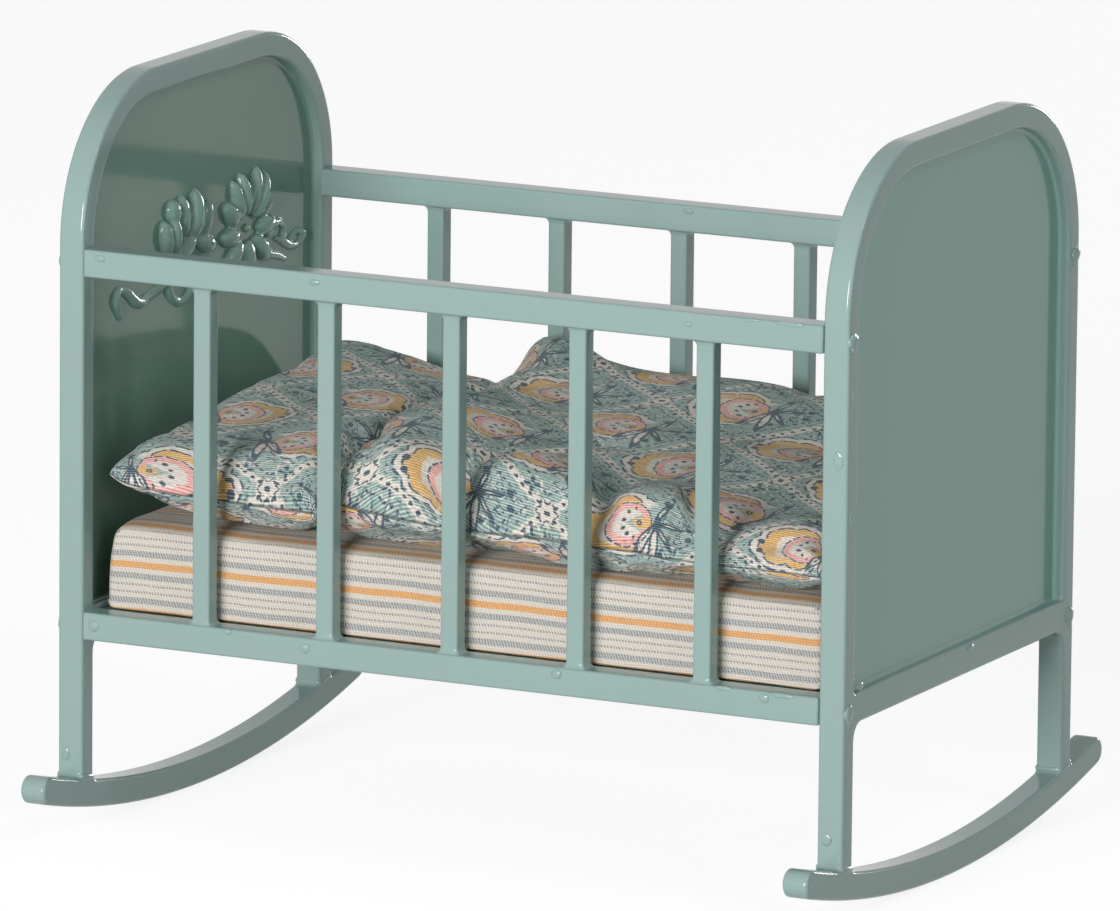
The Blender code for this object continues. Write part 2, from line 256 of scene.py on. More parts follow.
# Making pieces
def smoothAlong(points, values, at):
    # smooth curve through values at rising points
    if at <= points[0]:
        return values[0]
    if at >= points[-1]:
        return values[-1]
    index = max(i for i in range(len(points) - 1) if points[i] <= at)
    span = points[index + 1] - points[index]
    share = (at - points[index]) / span
    before = values[max(index - 1, 0)]
    after = values[min(index + 2, len(values) - 1)]
    first, second = values[index], values[index + 1]
    return 0.5 * (2 * first + (second - before) * share
                  + (2 * before - 5 * first + 4 * second - after) * share ** 2
                  + (3 * first - before - 3 * second + after) * share ** 3)


def moveVerts(bm, vec, verts=None):
    bmesh.ops.translate(bm, vec=vec, verts=bm.verts[:] if verts is None else verts)


def stretchVerts(bm, vec, verts=None):
    bmesh.ops.scale(bm, vec=vec, verts=bm.verts[:] if verts is None else verts)


def turnVerts(bm, degrees, verts=None):
    bmesh.ops.rotate(bm, matrix=Matrix.Rotation(math.radians(degrees), 3, "X"),
                     verts=bm.verts[:] if verts is None else verts)


def roundOff(bm, geom, radius, segments, affect="EDGES", **more):
    bmesh.ops.bevel(bm, geom=geom, offset=radius, offset_type="OFFSET", affect=affect, segments=segments,
                    profile=0.5, material=-1, **more)


def splitLarge(bm):
    bmesh.ops.triangulate(bm, faces=[face for face in bm.faces if len(face.verts) > 4])


def ofKind(made, kind):
    return [item for item in made if isinstance(item, kind)]


def toMesh(bm, name):
    mesh = bpy.data.meshes.new(name)
    bm.to_mesh(mesh)
    bm.free()
    return mesh


def addInto(bm, part):
    # puts a part's faces into bm and frees the part
    mesh = toMesh(part, "part")
    bm.from_mesh(mesh)
    bpy.data.meshes.remove(mesh)


def placeObject(name, data):
    holder = bpy.data.objects.new(name, data)
    scene.collection.objects.link(holder)
    return holder


def addPiece(bm, name, material, body="frame", replaced=(), weighted=True, sharpest=35):
    mesh = toMesh(bm, name)
    mesh.materials.append(material)
    mesh.shade_smooth()
    mesh.set_sharp_from_angle(angle=math.radians(sharpest))
    piece = placeObject(name, mesh)
    if weighted:
        shading = piece.modifiers.new("flatFaces", "WEIGHTED_NORMAL")
        shading.keep_sharp = True
        shading.weight = 100
    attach(piece, body)
    if replaced:
        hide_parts(*replaced)
    return piece


def nearVert(bm, y, z):
    return min(bm.verts, key=lambda vert: (vert.co.y - y) ** 2 + (vert.co.z - z) ** 2)


def roundCorner(bm, y, z, radius, segments):
    roundOff(bm, [nearVert(bm, y, z)], radius, segments, "VERTICES", clamp_overlap=False)


def joinVerts(bm, points):
    verts = [bm.verts.new((0.0, y, z)) for y, z in points]
    for first, second in zip(verts, verts[1:]):
        bm.edges.new((first, second))
    return verts


def spinVert(bm, vert, centre, angle, steps):
    made = bmesh.ops.spin(bm, geom=[vert], cent=(0.0, centre[0], centre[1]), axis=(1.0, 0.0, 0.0),
                          dvec=(0.0, 0.0, 0.0), angle=angle, steps=steps, use_duplicate=False)
    return ofKind(made["geom_last"], bmesh.types.BMVert)[0]


# The two ends: hoop, legs, crossbar and rocker, welded and painted as one
endShape = {
    "rockerRadius": 0.212,
    "rockerHeight": 0.00445,
    "rockerSpan": 0.1085,
    "edgeRound": 0.0006,
    "footFillet": 0.001,
    "legFillet": 0.0027,
    "recessFillet": 0.0006,
    "archSteps": 28,
}


def halfEndOutline(bm):
    # Right half of the outline with its two windows, from the rocker's lowest point to the crown
    radius = endShape["rockerRadius"]
    height = endShape["rockerHeight"]
    reach = (endShape["rockerSpan"] - height) / 2
    middle = radius - height / 2
    half = math.asin(reach / middle)
    centre = (0.0, radius)
    crown = cradle["height"]
    under = spinVert(bm, bm.verts.new((0.0, 0.0, 0.0)), centre, half, 34)
    tip = (middle * math.sin(half), radius - middle * math.cos(half))
    upper = spinVert(bm, under, tip, math.pi, 12)
    outerAngle = math.asin(legOuterY / (radius - height))
    innerAngle = math.asin(legInnerY / (radius - height))
    foot = spinVert(bm, upper, centre, outerAngle - half, 3)
    corner = bm.verts.new((0.0, legOuterY, crown))
    top = bm.verts.new((0.0, 0.0, crown))
    bm.edges.new((foot, corner))
    bm.edges.new((corner, top))
    low = spinVert(bm, bm.verts.new((0.0, 0.0, height)), centre, innerAngle, 24)
    side = bm.verts.new((0.0, legInnerY, cradle["bedUnderside"]))
    middleTop = bm.verts.new((0.0, 0.0, cradle["bedUnderside"]))
    bm.edges.new((low, side))
    bm.edges.new((side, middleTop))
    innerTop = crown - cradle["barWidth"]
    joinVerts(bm, [(0.0, cradle["crossbarTop"]), (legInnerY, cradle["crossbarTop"]),
                   (legInnerY, innerTop), (0.0, innerTop)])
    steps = endShape["archSteps"]
    footZ = foot.co.z
    lowZ = low.co.z
    roundCorner(bm, legOuterY, crown, cradle["archRadius"], steps)
    roundCorner(bm, legInnerY, innerTop, cradle["archRadius"] - cradle["barWidth"], steps)
    roundCorner(bm, legOuterY, footZ, endShape["footFillet"], 5)
    roundCorner(bm, legInnerY, lowZ, endShape["footFillet"], 5)
    roundCorner(bm, legInnerY, cradle["bedUnderside"], endShape["legFillet"], 7)
    roundCorner(bm, legInnerY, cradle["crossbarTop"], endShape["recessFillet"], 4)


def makeEndFrame(name, side, replaced):
    bm = bmesh.new()
    halfEndOutline(bm)
    bmesh.ops.mirror(bm, geom=bm.verts[:] + bm.edges[:], axis="Y", merge_dist=0.00001)
    bmesh.ops.remove_doubles(bm, verts=bm.verts[:], dist=0.000005)
    bmesh.ops.triangle_fill(bm, edges=bm.edges[:], use_beauty=True, use_dissolve=False)
    bmesh.ops.dissolve_limit(bm, angle_limit=math.radians(1), verts=[], edges=bm.edges[:])
    grown = bmesh.ops.extrude_face_region(bm, geom=bm.faces[:])
    lifted = ofKind(grown["geom"], bmesh.types.BMVert)
    moveVerts(bm, (cradle["barDepth"], 0.0, 0.0), lifted)
    moveVerts(bm, (side * endX - cradle["barDepth"] / 2, 0.0, 0.0))
    bmesh.ops.recalc_face_normals(bm, faces=bm.faces[:])
    rims = [edge for edge in bm.edges if len(edge.link_faces) == 2
            and edge.calc_face_angle() > math.radians(50)]
    roundOff(bm, rims, endShape["edgeRound"], 4, loop_slide=False, clamp_overlap=False)
    splitLarge(bm)
    return addPiece(bm, name, frameEnamel, replaced=replaced)


makeEndFrame("headEndFrame", -1, ("head_hoop", "head_crossbar", "head_rocker"))
makeEndFrame("footEndFrame", 1, ("foot_hoop", "foot_crossbar", "foot_rocker"))
print("ends ready")


# Sheet panels, let into the hoops with a fillet of paint round the rim
panelShape = {"fillet": 0.0007, "steps": 6, "letIn": 0.00005}


def makePanel(name, side, paint, replaced):
    reach = panelShape["letIn"]
    fillet = panelShape["fillet"]
    bm = bmesh.new()
    innerTop = cradle["height"] - cradle["barWidth"] + reach
    low = cradle["crossbarTop"] - reach
    half = legInnerY + reach
    joinVerts(bm, [(0.0, low), (half, low), (half, innerTop), (0.0, innerTop)])
    roundCorner(bm, half, innerTop, cradle["archRadius"] - cradle["barWidth"] + reach,
                endShape["archSteps"])
    roundCorner(bm, half, low, endShape["recessFillet"], 4)
    bmesh.ops.mirror(bm, geom=bm.verts[:] + bm.edges[:], axis="Y", merge_dist=0.00001)
    bmesh.ops.remove_doubles(bm, verts=bm.verts[:], dist=0.000005)
    face = bmesh.ops.contextual_create(bm, geom=bm.edges[:])["faces"][0]
    face.normal_update()
    facing = 1 if face.normal.x > 0 else -1
    wall = cradle["panelThickness"] / 2 + fillet
    moveVerts(bm, (facing * wall, 0.0, 0.0))
    for step in range(panelShape["steps"]):
        before = math.pi / 2 * step / panelShape["steps"]
        after = math.pi / 2 * (step + 1) / panelShape["steps"]
        inward = fillet * (math.cos(before) - math.cos(after))
        down = fillet * (math.sin(after) - math.sin(before))
        bmesh.ops.inset_region(bm, faces=[face], thickness=inward, depth=-down,
                               use_even_offset=True, use_boundary=True)
    mirrored = bmesh.ops.duplicate(bm, geom=bm.verts[:] + bm.edges[:] + bm.faces[:])
    copies = ofKind(mirrored["geom"], bmesh.types.BMVert)
    stretchVerts(bm, (-1.0, 1.0, 1.0), copies)
    rims = [edge for edge in bm.edges if len(edge.link_faces) == 1]
    bmesh.ops.bridge_loops(bm, edges=rims)
    bmesh.ops.recalc_face_normals(bm, faces=bm.faces[:])
    moveVerts(bm, (side * endX, 0.0, 0.0))
    splitLarge(bm)
    return addPiece(bm, name, paint, replaced=replaced)


# the head panel wears the paint made darker as painted shade, the foot panel the paint made lighter as
# painted light
makePanel("headPanel", -1, shadedPanelEnamel, ("head_panel",))
makePanel("footPanel", 1, litPanelEnamel, ("foot_panel",))
print("panels ready")


# Pressed blossoms and ribbon on the head panel's inner face, drowned in paint
blossomShape = {
    "faceX": -0.06505, "voxel": 0.00024, "smoothings": 3,
    # each petal in millimetres: middle y, z, half length, half width, height, turn in degrees
    "petals": (
        (12.6, 92.2, 3.5, 2.1, 1.5, 109), (18.7, 92.0, 3.8, 2.25, 1.6, 64),
        (9.2, 89.7, 2.8, 1.75, 1.3, 146), (8.9, 85.7, 2.9, 1.5, 1.3, 180),
        (10.5, 82.3, 3.0, 1.5, 1.2, 214), (15.4, 81.0, 2.7, 1.9, 1.3, 268),
        (20.5, 82.1, 3.3, 1.7, 1.3, 326), (22.3, 85.9, 3.0, 1.45, 1.2, 2),
        (21.9, 89.4, 2.7, 1.35, 1.1, 30), (-11.6, 89.3, 2.9, 2.35, 1.6, 96),
        (-10.1, 93.3, 1.9, 1.7, 1.3, 108), (-6.8, 92.3, 3.3, 1.6, 1.3, 98),
        (-2.3, 92.0, 3.9, 1.95, 1.6, 84), (1.8, 90.2, 3.1, 1.5, 1.2, 66),
        (2.0, 86.1, 3.2, 1.5, 1.2, 345), (-5.4, 86.2, 3.2, 1.5, 1.1, 205)),
    "hearts": ((15.2, 86.4, 0.8, 0.9), (-4.2, 88.0, 0.7, 0.9)), "folded": 2.0,
    # ribbons: half width, height, then the points y, z they follow
    "ribbons": (
        (1.15, 1.0, ((-8.0, 84.6), (-13.0, 82.0), (-17.0, 80.9), (-20.9, 80.4), (-24.4, 82.5),
                     (-27.2, 83.3), (-28.4, 81.6), (-26.8, 79.0))),
        (1.05, 0.9, ((-11.5, 83.0), (-10.2, 80.0), (-7.0, 78.2), (-4.0, 79.3), (-2.2, 82.4))),
        (0.9, 1.0, ((22.6, 84.4), (25.2, 85.7), (27.8, 84.9), (27.4, 82.8), (25.4, 83.0))),
        (0.85, 0.95, ((27.2, 82.6), (30.0, 81.2), (33.0, 81.0), (34.6, 82.3), (32.6, 83.2), (30.4, 82.4))),
        (0.9, 0.9, ((21.4, 81.2), (25.0, 80.5), (28.8, 79.2)))),
}


def addBlob(bm, y, z, halfLong, halfWide, height, turn):
    made = bmesh.ops.create_icosphere(bm, subdivisions=2, radius=1.0)["verts"]
    stretchVerts(bm, (height, halfLong, halfWide), made)
    turnVerts(bm, turn, made)
    moveVerts(bm, (0.0, y, z), made)


def makeBlossoms():
    bm = bmesh.new()
    for y, z, halfLong, halfWide, height, turn in blossomShape["petals"]:
        # each reaches in to its flower's middle, the broad ones folded in two lobes
        heart = min(blossomShape["hearts"], key=lambda item: (item[0] - y) ** 2 + (item[1] - z) ** 2)
        place = Vector((y, z)) + (Vector(heart[:2]) - Vector((y, z))).normalized() * 0.6
        across = Vector((-math.sin(math.radians(turn)), math.cos(math.radians(turn))))
        if halfWide < blossomShape["folded"]:
            addBlob(bm, place.x, place.y, halfLong + 0.4, halfWide * 1.1, height * 1.3, turn)
            continue
        for lean, tall in ((-1, 1.35), (1, 1.15)):
            lobe = place + across * (lean * halfWide * 0.5)
            addBlob(bm, lobe.x, lobe.y, halfLong + 0.4, halfWide * 0.66, height * tall, turn + lean * 4)
    for y, z, radius, height in blossomShape["hearts"]:
        addBlob(bm, y, z, radius, radius, height, 0)
    for halfWide, height, points in blossomShape["ribbons"]:
        marks = list(range(len(points)))
        count = 5 * (len(points) - 1)
        for step in range(count + 1):
            at = step * marks[-1] / count
            taper = 1 - 0.45 * (step / count) ** 2
            addBlob(bm, smoothAlong(marks, [point[0] for point in points], at),
                    smoothAlong(marks, [point[1] for point in points], at),
                    halfWide * taper, halfWide * taper, height * (0.75 + 0.25 * math.sin(at * 2.4)), 0)
    stretchVerts(bm, (0.001, 0.001, 0.001))
    moveVerts(bm, (blossomShape["faceX"], 0.0, 0.0))
    trial = toMesh(bm, "blossomTrial")
    holder = placeObject("blossomTrial", trial)
    merge = holder.modifiers.new("merge", "REMESH")
    merge.mode = "VOXEL"
    merge.voxel_size = blossomShape["voxel"]
    shaped = holder.evaluated_get(bpy.context.evaluated_depsgraph_get()).data
    bm = bmesh.new()
    bm.from_mesh(shaped)
    bpy.data.objects.remove(holder)
    bpy.data.meshes.remove(trial)
    bmesh.ops.bisect_plane(bm, geom=bm.verts[:] + bm.edges[:] + bm.faces[:], dist=0.000001,
                           plane_co=(blossomShape["faceX"] - 0.00015, 0.0, 0.0),
                           plane_no=(1.0, 0.0, 0.0), clear_inner=True)
    bmesh.ops.holes_fill(bm, edges=[edge for edge in bm.edges if edge.is_boundary], sides=0)
    loose = [vert for vert in bm.verts if vert.co.x > blossomShape["faceX"]]
    for repeat in range(blossomShape["smoothings"]):
        bmesh.ops.smooth_vert(bm, verts=loose, factor=0.5, use_axis_x=True, use_axis_y=True,
                              use_axis_z=True)
    splitLarge(bm)
    # the relief takes its paint made lighter as painted light
    addPiece(bm, "headBlossoms", litReliefEnamel, weighted=False, sharpest=180)


makeBlossoms()
print("blossoms ready")


# Rails
railShape = {"edgeRound": 0.00045, "headEndRound": 0.0002, "footEndRound": 0.0004,
             "headEndX": -0.06322, "footEndX": 0.06312}


def makeRail(name, side, top, replaced):
    size = cradle["railSize"]
    length = railShape["footEndX"] - railShape["headEndX"]
    middle = (railShape["footEndX"] + railShape["headEndX"]) / 2
    bm = bmesh.new()
    bmesh.ops.create_cube(bm, size=1.0)
    stretchVerts(bm, (length, size, size))
    for end, radius in ((-1, railShape["headEndRound"]), (1, railShape["footEndRound"])):
        ring = [edge for edge in bm.edges if all(vert.co.x * end > length * 0.499 for vert in edge.verts)]
        roundOff(bm, ring, radius, 3)
    long = [edge for edge in bm.edges if abs(edge.verts[0].co.x - edge.verts[1].co.x) > length / 2]
    roundOff(bm, long, railShape["edgeRound"], 4)
    moveVerts(bm, (middle, side * railY, top - size / 2))
    return addPiece(bm, name, frameEnamel, replaced=replaced)


bottomRailTop = cradle["bedUnderside"] + cradle["railSize"]
for sideName, side in (("front", -1), ("back", 1)):
    makeRail(sideName + "TopRail", side, cradle["topRailTop"], (sideName + "_top_rail",))
    makeRail(sideName + "BottomRail", side, bottomRailTop, (sideName + "_bottom_rail",))
print("rails ready")

# Balusters, their ends flared where the enamel has pooled
balusterShape = {"width": 0.00295, "depth": 0.00295, "corner": 0.0004, "flareAcross": 0.00095,
                 "flareDeep": 0.00055, "flareHeight": 0.0011, "flareSteps": 7, "pitch": 0.0215,
                 "sink": 0.00008}


def makeBaluster(name, x, side, replaced):
    shape = balusterShape
    low = bottomRailTop - shape["sink"]
    length = cradle["topRailTop"] - cradle["railSize"] + shape["sink"] - low

    def flare(share):
        return (1 + 2 * shape["flareAcross"] * share / shape["width"],
                1 + 2 * shape["flareDeep"] * share / shape["depth"])

    bm = bmesh.new()
    bmesh.ops.create_grid(bm, x_segments=1, y_segments=1, size=0.5)
    stretchVerts(bm, (shape["width"], shape["depth"], 1.0))
    roundOff(bm, bm.verts[:], shape["corner"], 4, "VERTICES")
    turns = [math.pi / 2 * step / shape["flareSteps"] for step in range(shape["flareSteps"] + 1)]
    stations = [(shape["flareHeight"] * (1 - math.cos(turn)), 1 - math.sin(turn)) for turn in turns]
    path = stations + [(length - up, share) for up, share in reversed(stations)]
    face = bm.faces[:][0]
    moveVerts(bm, (0.0, 0.0, low))
    height, before = path[0][0], flare(path[0][1])
    stretchVerts(bm, (*before, 1.0))
    for up, share in path[1:]:
        grown = bmesh.ops.extrude_face_region(bm, geom=[face])
        face = ofKind(grown["geom"], bmesh.types.BMFace)[0]
        across, deep = flare(share)
        moveVerts(bm, (0.0, 0.0, up - height), face.verts[:])
        stretchVerts(bm, (across / before[0], deep / before[1], 1.0), face.verts[:])
        height, before = up, (across, deep)
    bmesh.ops.recalc_face_normals(bm, faces=bm.faces[:])
    moveVerts(bm, (x, side * railY, 0.0))
    return addPiece(bm, name, frameEnamel, replaced=replaced, sharpest=50)


for sideName, side in (("front", -1), ("back", 1)):
    for number in range(1, 6):
        makeBaluster("{}Baluster{}".format(sideName, number), (number - 3) * balusterShape["pitch"],
                     side, ("{}_baluster_{}".format(sideName, number),))
print("balusters ready")


# Rivet heads, weld beads and drops, all under the same paint
jointShape = {
    "rivetHalves": (0.00062, 0.00145, 0.00130), "rivetLow": 0.0330, "rivetUp": 0.0903,
    "rivetFromEdge": 0.0017, "rivetSunk": 0.0001,
    "weldGrow": 0.0002, "weldHeight": 0.0013, "weldLift": 0.00035, "weldRound": 0.46,
}


def addLump(bm, place, halves, turn=0.0, uneven=0.22):
    # an uneven drop of paint, its middle just inside the metal
    made = bmesh.ops.create_uvsphere(bm, u_segments=20, v_segments=12, radius=1.0)["verts"]
    for vert in made:
        bend = 1 + uneven * noise.noise(vert.co * 1.5 + Vector(place) * 300)
        vert.co = vert.co * bend
    stretchVerts(bm, halves, made)
    turnVerts(bm, turn, made)
    moveVerts(bm, place, made)


def makeRivets(endName, side):
    high, wide, tall = jointShape["rivetHalves"]
    x = side * (cradle["length"] / 2 - jointShape["rivetSunk"])
    for sideName, across in (("Front", -1), ("Back", 1)):
        for levelName, height in (("Bottom", jointShape["rivetLow"]), ("Top", jointShape["rivetUp"])):
            bm = bmesh.new()
            y = across * (legOuterY - jointShape["rivetFromEdge"])
            addLump(bm, (x, y, height), (high, wide, tall))
            # paint sagging from the head
            addLump(bm, (x - side * 0.0001, y, height - 0.0011), (0.00055, wide * 0.62, tall * 0.75))
            replaced = "_".join((endName, sideName, levelName, "rivet")).lower()
            addPiece(bm, endName + sideName + levelName + "Rivet", frameEnamel,
                     weighted=False, sharpest=180, replaced=(replaced,))


makeRivets("head", -1)
makeRivets("foot", 1)


def makeWelds(name, side):
    # a bead round each leg where it meets the rocker
    bm = bmesh.new()
    grow, height = jointShape["weldGrow"], jointShape["weldHeight"]
    middleY = (legOuterY + legInnerY) / 2
    radius = endShape["rockerRadius"] - endShape["rockerHeight"]
    seat = endShape["rockerRadius"] - math.sqrt(radius ** 2 - middleY ** 2)
    slope = math.degrees(math.asin(middleY / radius))
    for across in (-1, 1):
        part = bmesh.new()
        bmesh.ops.create_cube(part, size=1.0)
        stretchVerts(part, (cradle["barDepth"] + 2 * grow, cradle["barWidth"] + 2 * grow, height))
        roundOff(part, part.edges[:], height * jointShape["weldRound"], 4)
        turnVerts(part, slope * across)
        moveVerts(part, (side * endX, across * middleY, seat + jointShape["weldLift"]))
        addInto(bm, part)
    addPiece(bm, name, frameEnamel, weighted=False, sharpest=60)


makeWelds("headWelds", -1)
makeWelds("footWelds", 1)

# drops on the metal: place and half sizes in millimetres
paintDrops = (
    ((-60.3, -41.8, 91.3), (0.9, 0.28, 0.55)), ((-23.1, -41.8, 91.1), (1.0, 0.26, 0.45)),
    ((-61.3, -41.8, 33.3), (0.9, 0.3, 0.9)), ((-24.4, -41.8, 33.6), (0.8, 0.26, 0.8)),
    ((18.9, -41.8, 34.2), (0.9, 0.28, 0.8)), ((54.0, -41.8, 34.2), (0.9, 0.28, 0.7)),
    ((-37.8, -41.8, 34.8), (0.7, 0.22, 0.45)), ((40.5, -41.8, 90.6), (0.7, 0.22, 0.4)),
    ((67.5, 3.5, 34.8), (0.28, 1.3, 0.5)), ((67.5, -36.5, 36.5), (0.26, 1.2, 0.6)),
    ((67.5, -40.4, 63.0), (0.24, 0.7, 1.4)), ((67.4, -40.6, 82.0), (0.22, 0.6, 1.6)),
    ((66.0, -42.0, 72.0), (0.8, 0.2, 1.4)), ((-66.0, -42.0, 12.5), (0.7, 0.22, 1.1)),
    ((64.8, -42.0, 13.5), (0.9, 0.2, 0.9)), ((2.0, 37.4, 91.6), (0.9, 0.25, 0.5)),
    ((57.5, -41.7, 92.2), (2.6, 0.28, 0.4)), ((51.0, -41.7, 92.2), (1.6, 0.24, 0.35)),
    ((57.0, -41.7, 34.9), (2.2, 0.28, 0.4)), ((47.0, -41.7, 35.0), (1.4, 0.22, 0.35)),
)


def makeDrops():
    bm = bmesh.new()
    for place, halves in paintDrops:
        addLump(bm, [value / 1000 for value in place], [value / 1000 for value in halves])
    addPiece(bm, "paintDrops", frameEnamel, weighted=False, sharpest=180)


makeDrops()
print("joints ready")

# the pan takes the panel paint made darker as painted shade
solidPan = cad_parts["floor_pan"]
solidPan.data.materials.clear()
solidPan.data.materials.append(shadedPanelEnamel)
print("pan ready")


# Cloth materials
def makeYarnGroup():
    # yarns of a plain weave on a cloth's own coordinates in millimetres
    group, given, result = newGroup(
        "wovenYarns",
        [("Vector", "NodeSocketVector", None), ("Pitch Along", "NodeSocketFloat", 0.42),
         ("Pitch Across", "NodeSocketFloat", 0.4), ("Lean", "NodeSocketFloat", 0.0)],
        [(key, "NodeSocketFloat") for key in ("Rib", "Knot", "Slub", "Height")])
    x, y = partsOf(given["Vector"])[:2]
    shift = times(less(noiseAt(given["Vector"], 0.35, 2.0)[0], 0.5), 0.9)
    along = add(add(x, times(y, given["Lean"])), shift)
    across = add(y, times(shift, 0.35))
    rowCount = over(across, given["Pitch Across"])
    rib = timesAdd(sine(times(rowCount, 2 * math.pi)), 0.5, 0.5)
    row = times(maths("FLOOR", rowCount), math.pi)
    turnAlong = times(over(along, given["Pitch Along"]), 2 * math.pi)
    knot = timesAdd(sine(add(turnAlong, row)), 0.5, 0.5)
    stretched = addNode(group, "CombineXYZ", None, {0: times(along, 0.35), 1: times(across, 2.6)})
    slub = noiseAt(stretched.outputs[0], 1.0, 3.0)[0]
    height = timesAdd(slub, 0.8, add(times(rib, 0.7), times(knot, times(rib, 0.6))))
    for key, value in (("Rib", rib), ("Knot", knot), ("Slub", slub), ("Height", height)):
        feed(result[key], value)
    return group


yarnGroup = makeYarnGroup()

clothFinish = {"yarnDepth": 0.00006, "specular": 0.25, "sheen": 0.12, "sheenRoughness": 0.5}


def finishCloth(tree, shader, look, colour, height):
    bump = addNode(tree, "Bump", None, {"Height": height, "Strength": look["yarnStrength"],
                                        "Distance": clothFinish["yarnDepth"]})
    setInputs(shader, {"Base Color": colour, "Normal": bump.outputs[0], "Roughness": look["roughness"],
                       "Specular IOR Level": clothFinish["specular"], "Sheen Weight": clothFinish["sheen"],
                       "Sheen Roughness": clothFinish["sheenRoughness"]})


tickingLook = {
    "cream": (0.665, 0.63, 0.555, 1.0),
    "creamDark": (0.30, 0.265, 0.225, 1.0),
    "orange": (0.66, 0.285, 0.035, 1.0),
    "blue": (0.160, 0.205, 0.235, 1.0),
    "repeat": 8.1, "phase": 2.22,
    "orangeHalf": 0.56, "blueAt": 1.92, "blueHalf": 0.52, "lineAt": 3.42, "lineHalf": 0.2,
    "pitchAlong": 0.5, "pitchAcross": 0.42, "lean": 0.3,
    # painted shade under the bedding, multiplied into the top's colour
    "beddingShade": (0.66, 0.62, 0.55, 1.0),
    "roughness": 0.92, "yarnStrength": 0.8,
}


def makeTicking():
    look = tickingLook
    material, tree, shader = newMaterial("stripedTicking", (0.7, 0.66, 0.6, 1.0))
    place = cutPlace(tree, "ticking")
    along, across = partsOf(place)[:2]
    fromMiddle = positive(across)
    across = add(across, times(less(noiseAt(place, 0.07, 2.0)[0], 0.5), 0.8))
    away = maths("PINGPONG", add(across, look["phase"]), look["repeat"] / 2)
    yarn = useGroup(tree, yarnGroup, {"Vector": place, "Pitch Along": look["pitchAlong"],
                                      "Pitch Across": look["pitchAcross"], "Lean": look["lean"]})
    slub = yarn["Slub"]
    # slanted marks where the coloured yarns come up
    row = over(across, look["pitchAcross"])
    slant = timesAdd(row, look["lean"], times(noiseAt(place, 1.3, 2.0)[0], 1.1))
    hatch = sine(times(add(over(along, look["pitchAlong"]), slant), 2 * math.pi))
    hatch = timesAdd(hatch, 0.5, 0.5)
    marks = both(rampBetween(hatch, 0.36, 0.64), rampBetween(sine(times(row, 2 * math.pi)), -1.5, -0.3))
    worn = both(marks, timesAdd(rampBetween(slub, 0.35, 0.65), 0.30, 0.10))
    colour = mixColour(worn, look["cream"], look["creamDark"])
    blue = both(band(away, look["blueAt"], look["blueHalf"]), timesAdd(marks, 0.50, 0.34))
    line = both(band(away, look["lineAt"], look["lineHalf"], 0.1),
                timesAdd(rampBetween(hatch, 0.3, 0.8), 0.60, 0.14))
    colour = mixColour(either(blue, line), colour, look["blue"])
    orange = both(band(away, 0.0, look["orangeHalf"]), timesAdd(marks, 0.40, 0.58))
    colour = dim(mixColour(orange, colour, look["orange"]), timesAdd(slub, 0.22, 0.88))
    # the top is painted darker as shade under the bedding, most of all along its edge
    beddingShade = both(rampBetween(fromMiddle, 36.7, 35.0),
                timesAdd(rampBetween(fromMiddle, 27.0, 33.0), 0.9, 0.1))
    finishCloth(tree, shader, look, mixColour(beddingShade, colour, look["beddingShade"], "MULTIPLY"), yarn["Height"])
    return material


printLook = {
    "ground": (0.205, 0.330, 0.302, 1.0),
    "groundPale": (0.68, 0.68, 0.63, 1.0),
    "cream": (0.63, 0.585, 0.51, 1.0),
    "navy": (0.036, 0.076, 0.108, 1.0),
    "ochre": (0.62, 0.35, 0.075, 1.0),
    "pink": (0.70, 0.32, 0.29, 1.0),
    "hemShade": (0.05, 0.06, 0.055, 1.0),
    "repeatX": 24.4, "repeatY": 21.2, "scale": 0.8,
    # wandering of the drawn lines: how fine, how far
    "wander": ((0.45, 0.75), (1.6, 0.36), (4.0, 0.12)),
    # leaves round the palmette's knot: turn in degrees, length, half width
    "leaves": ((-125, 2.3, 0.52), (-92, 2.5, 0.55), (68, 1.7, 0.32), (-52, 1.6, 0.3), (8, 1.5, 0.26)),
    "ribPitch": 0.46, "yarnPitch": 0.5,
    "roughness": 0.9, "yarnStrength": 0.9,
}


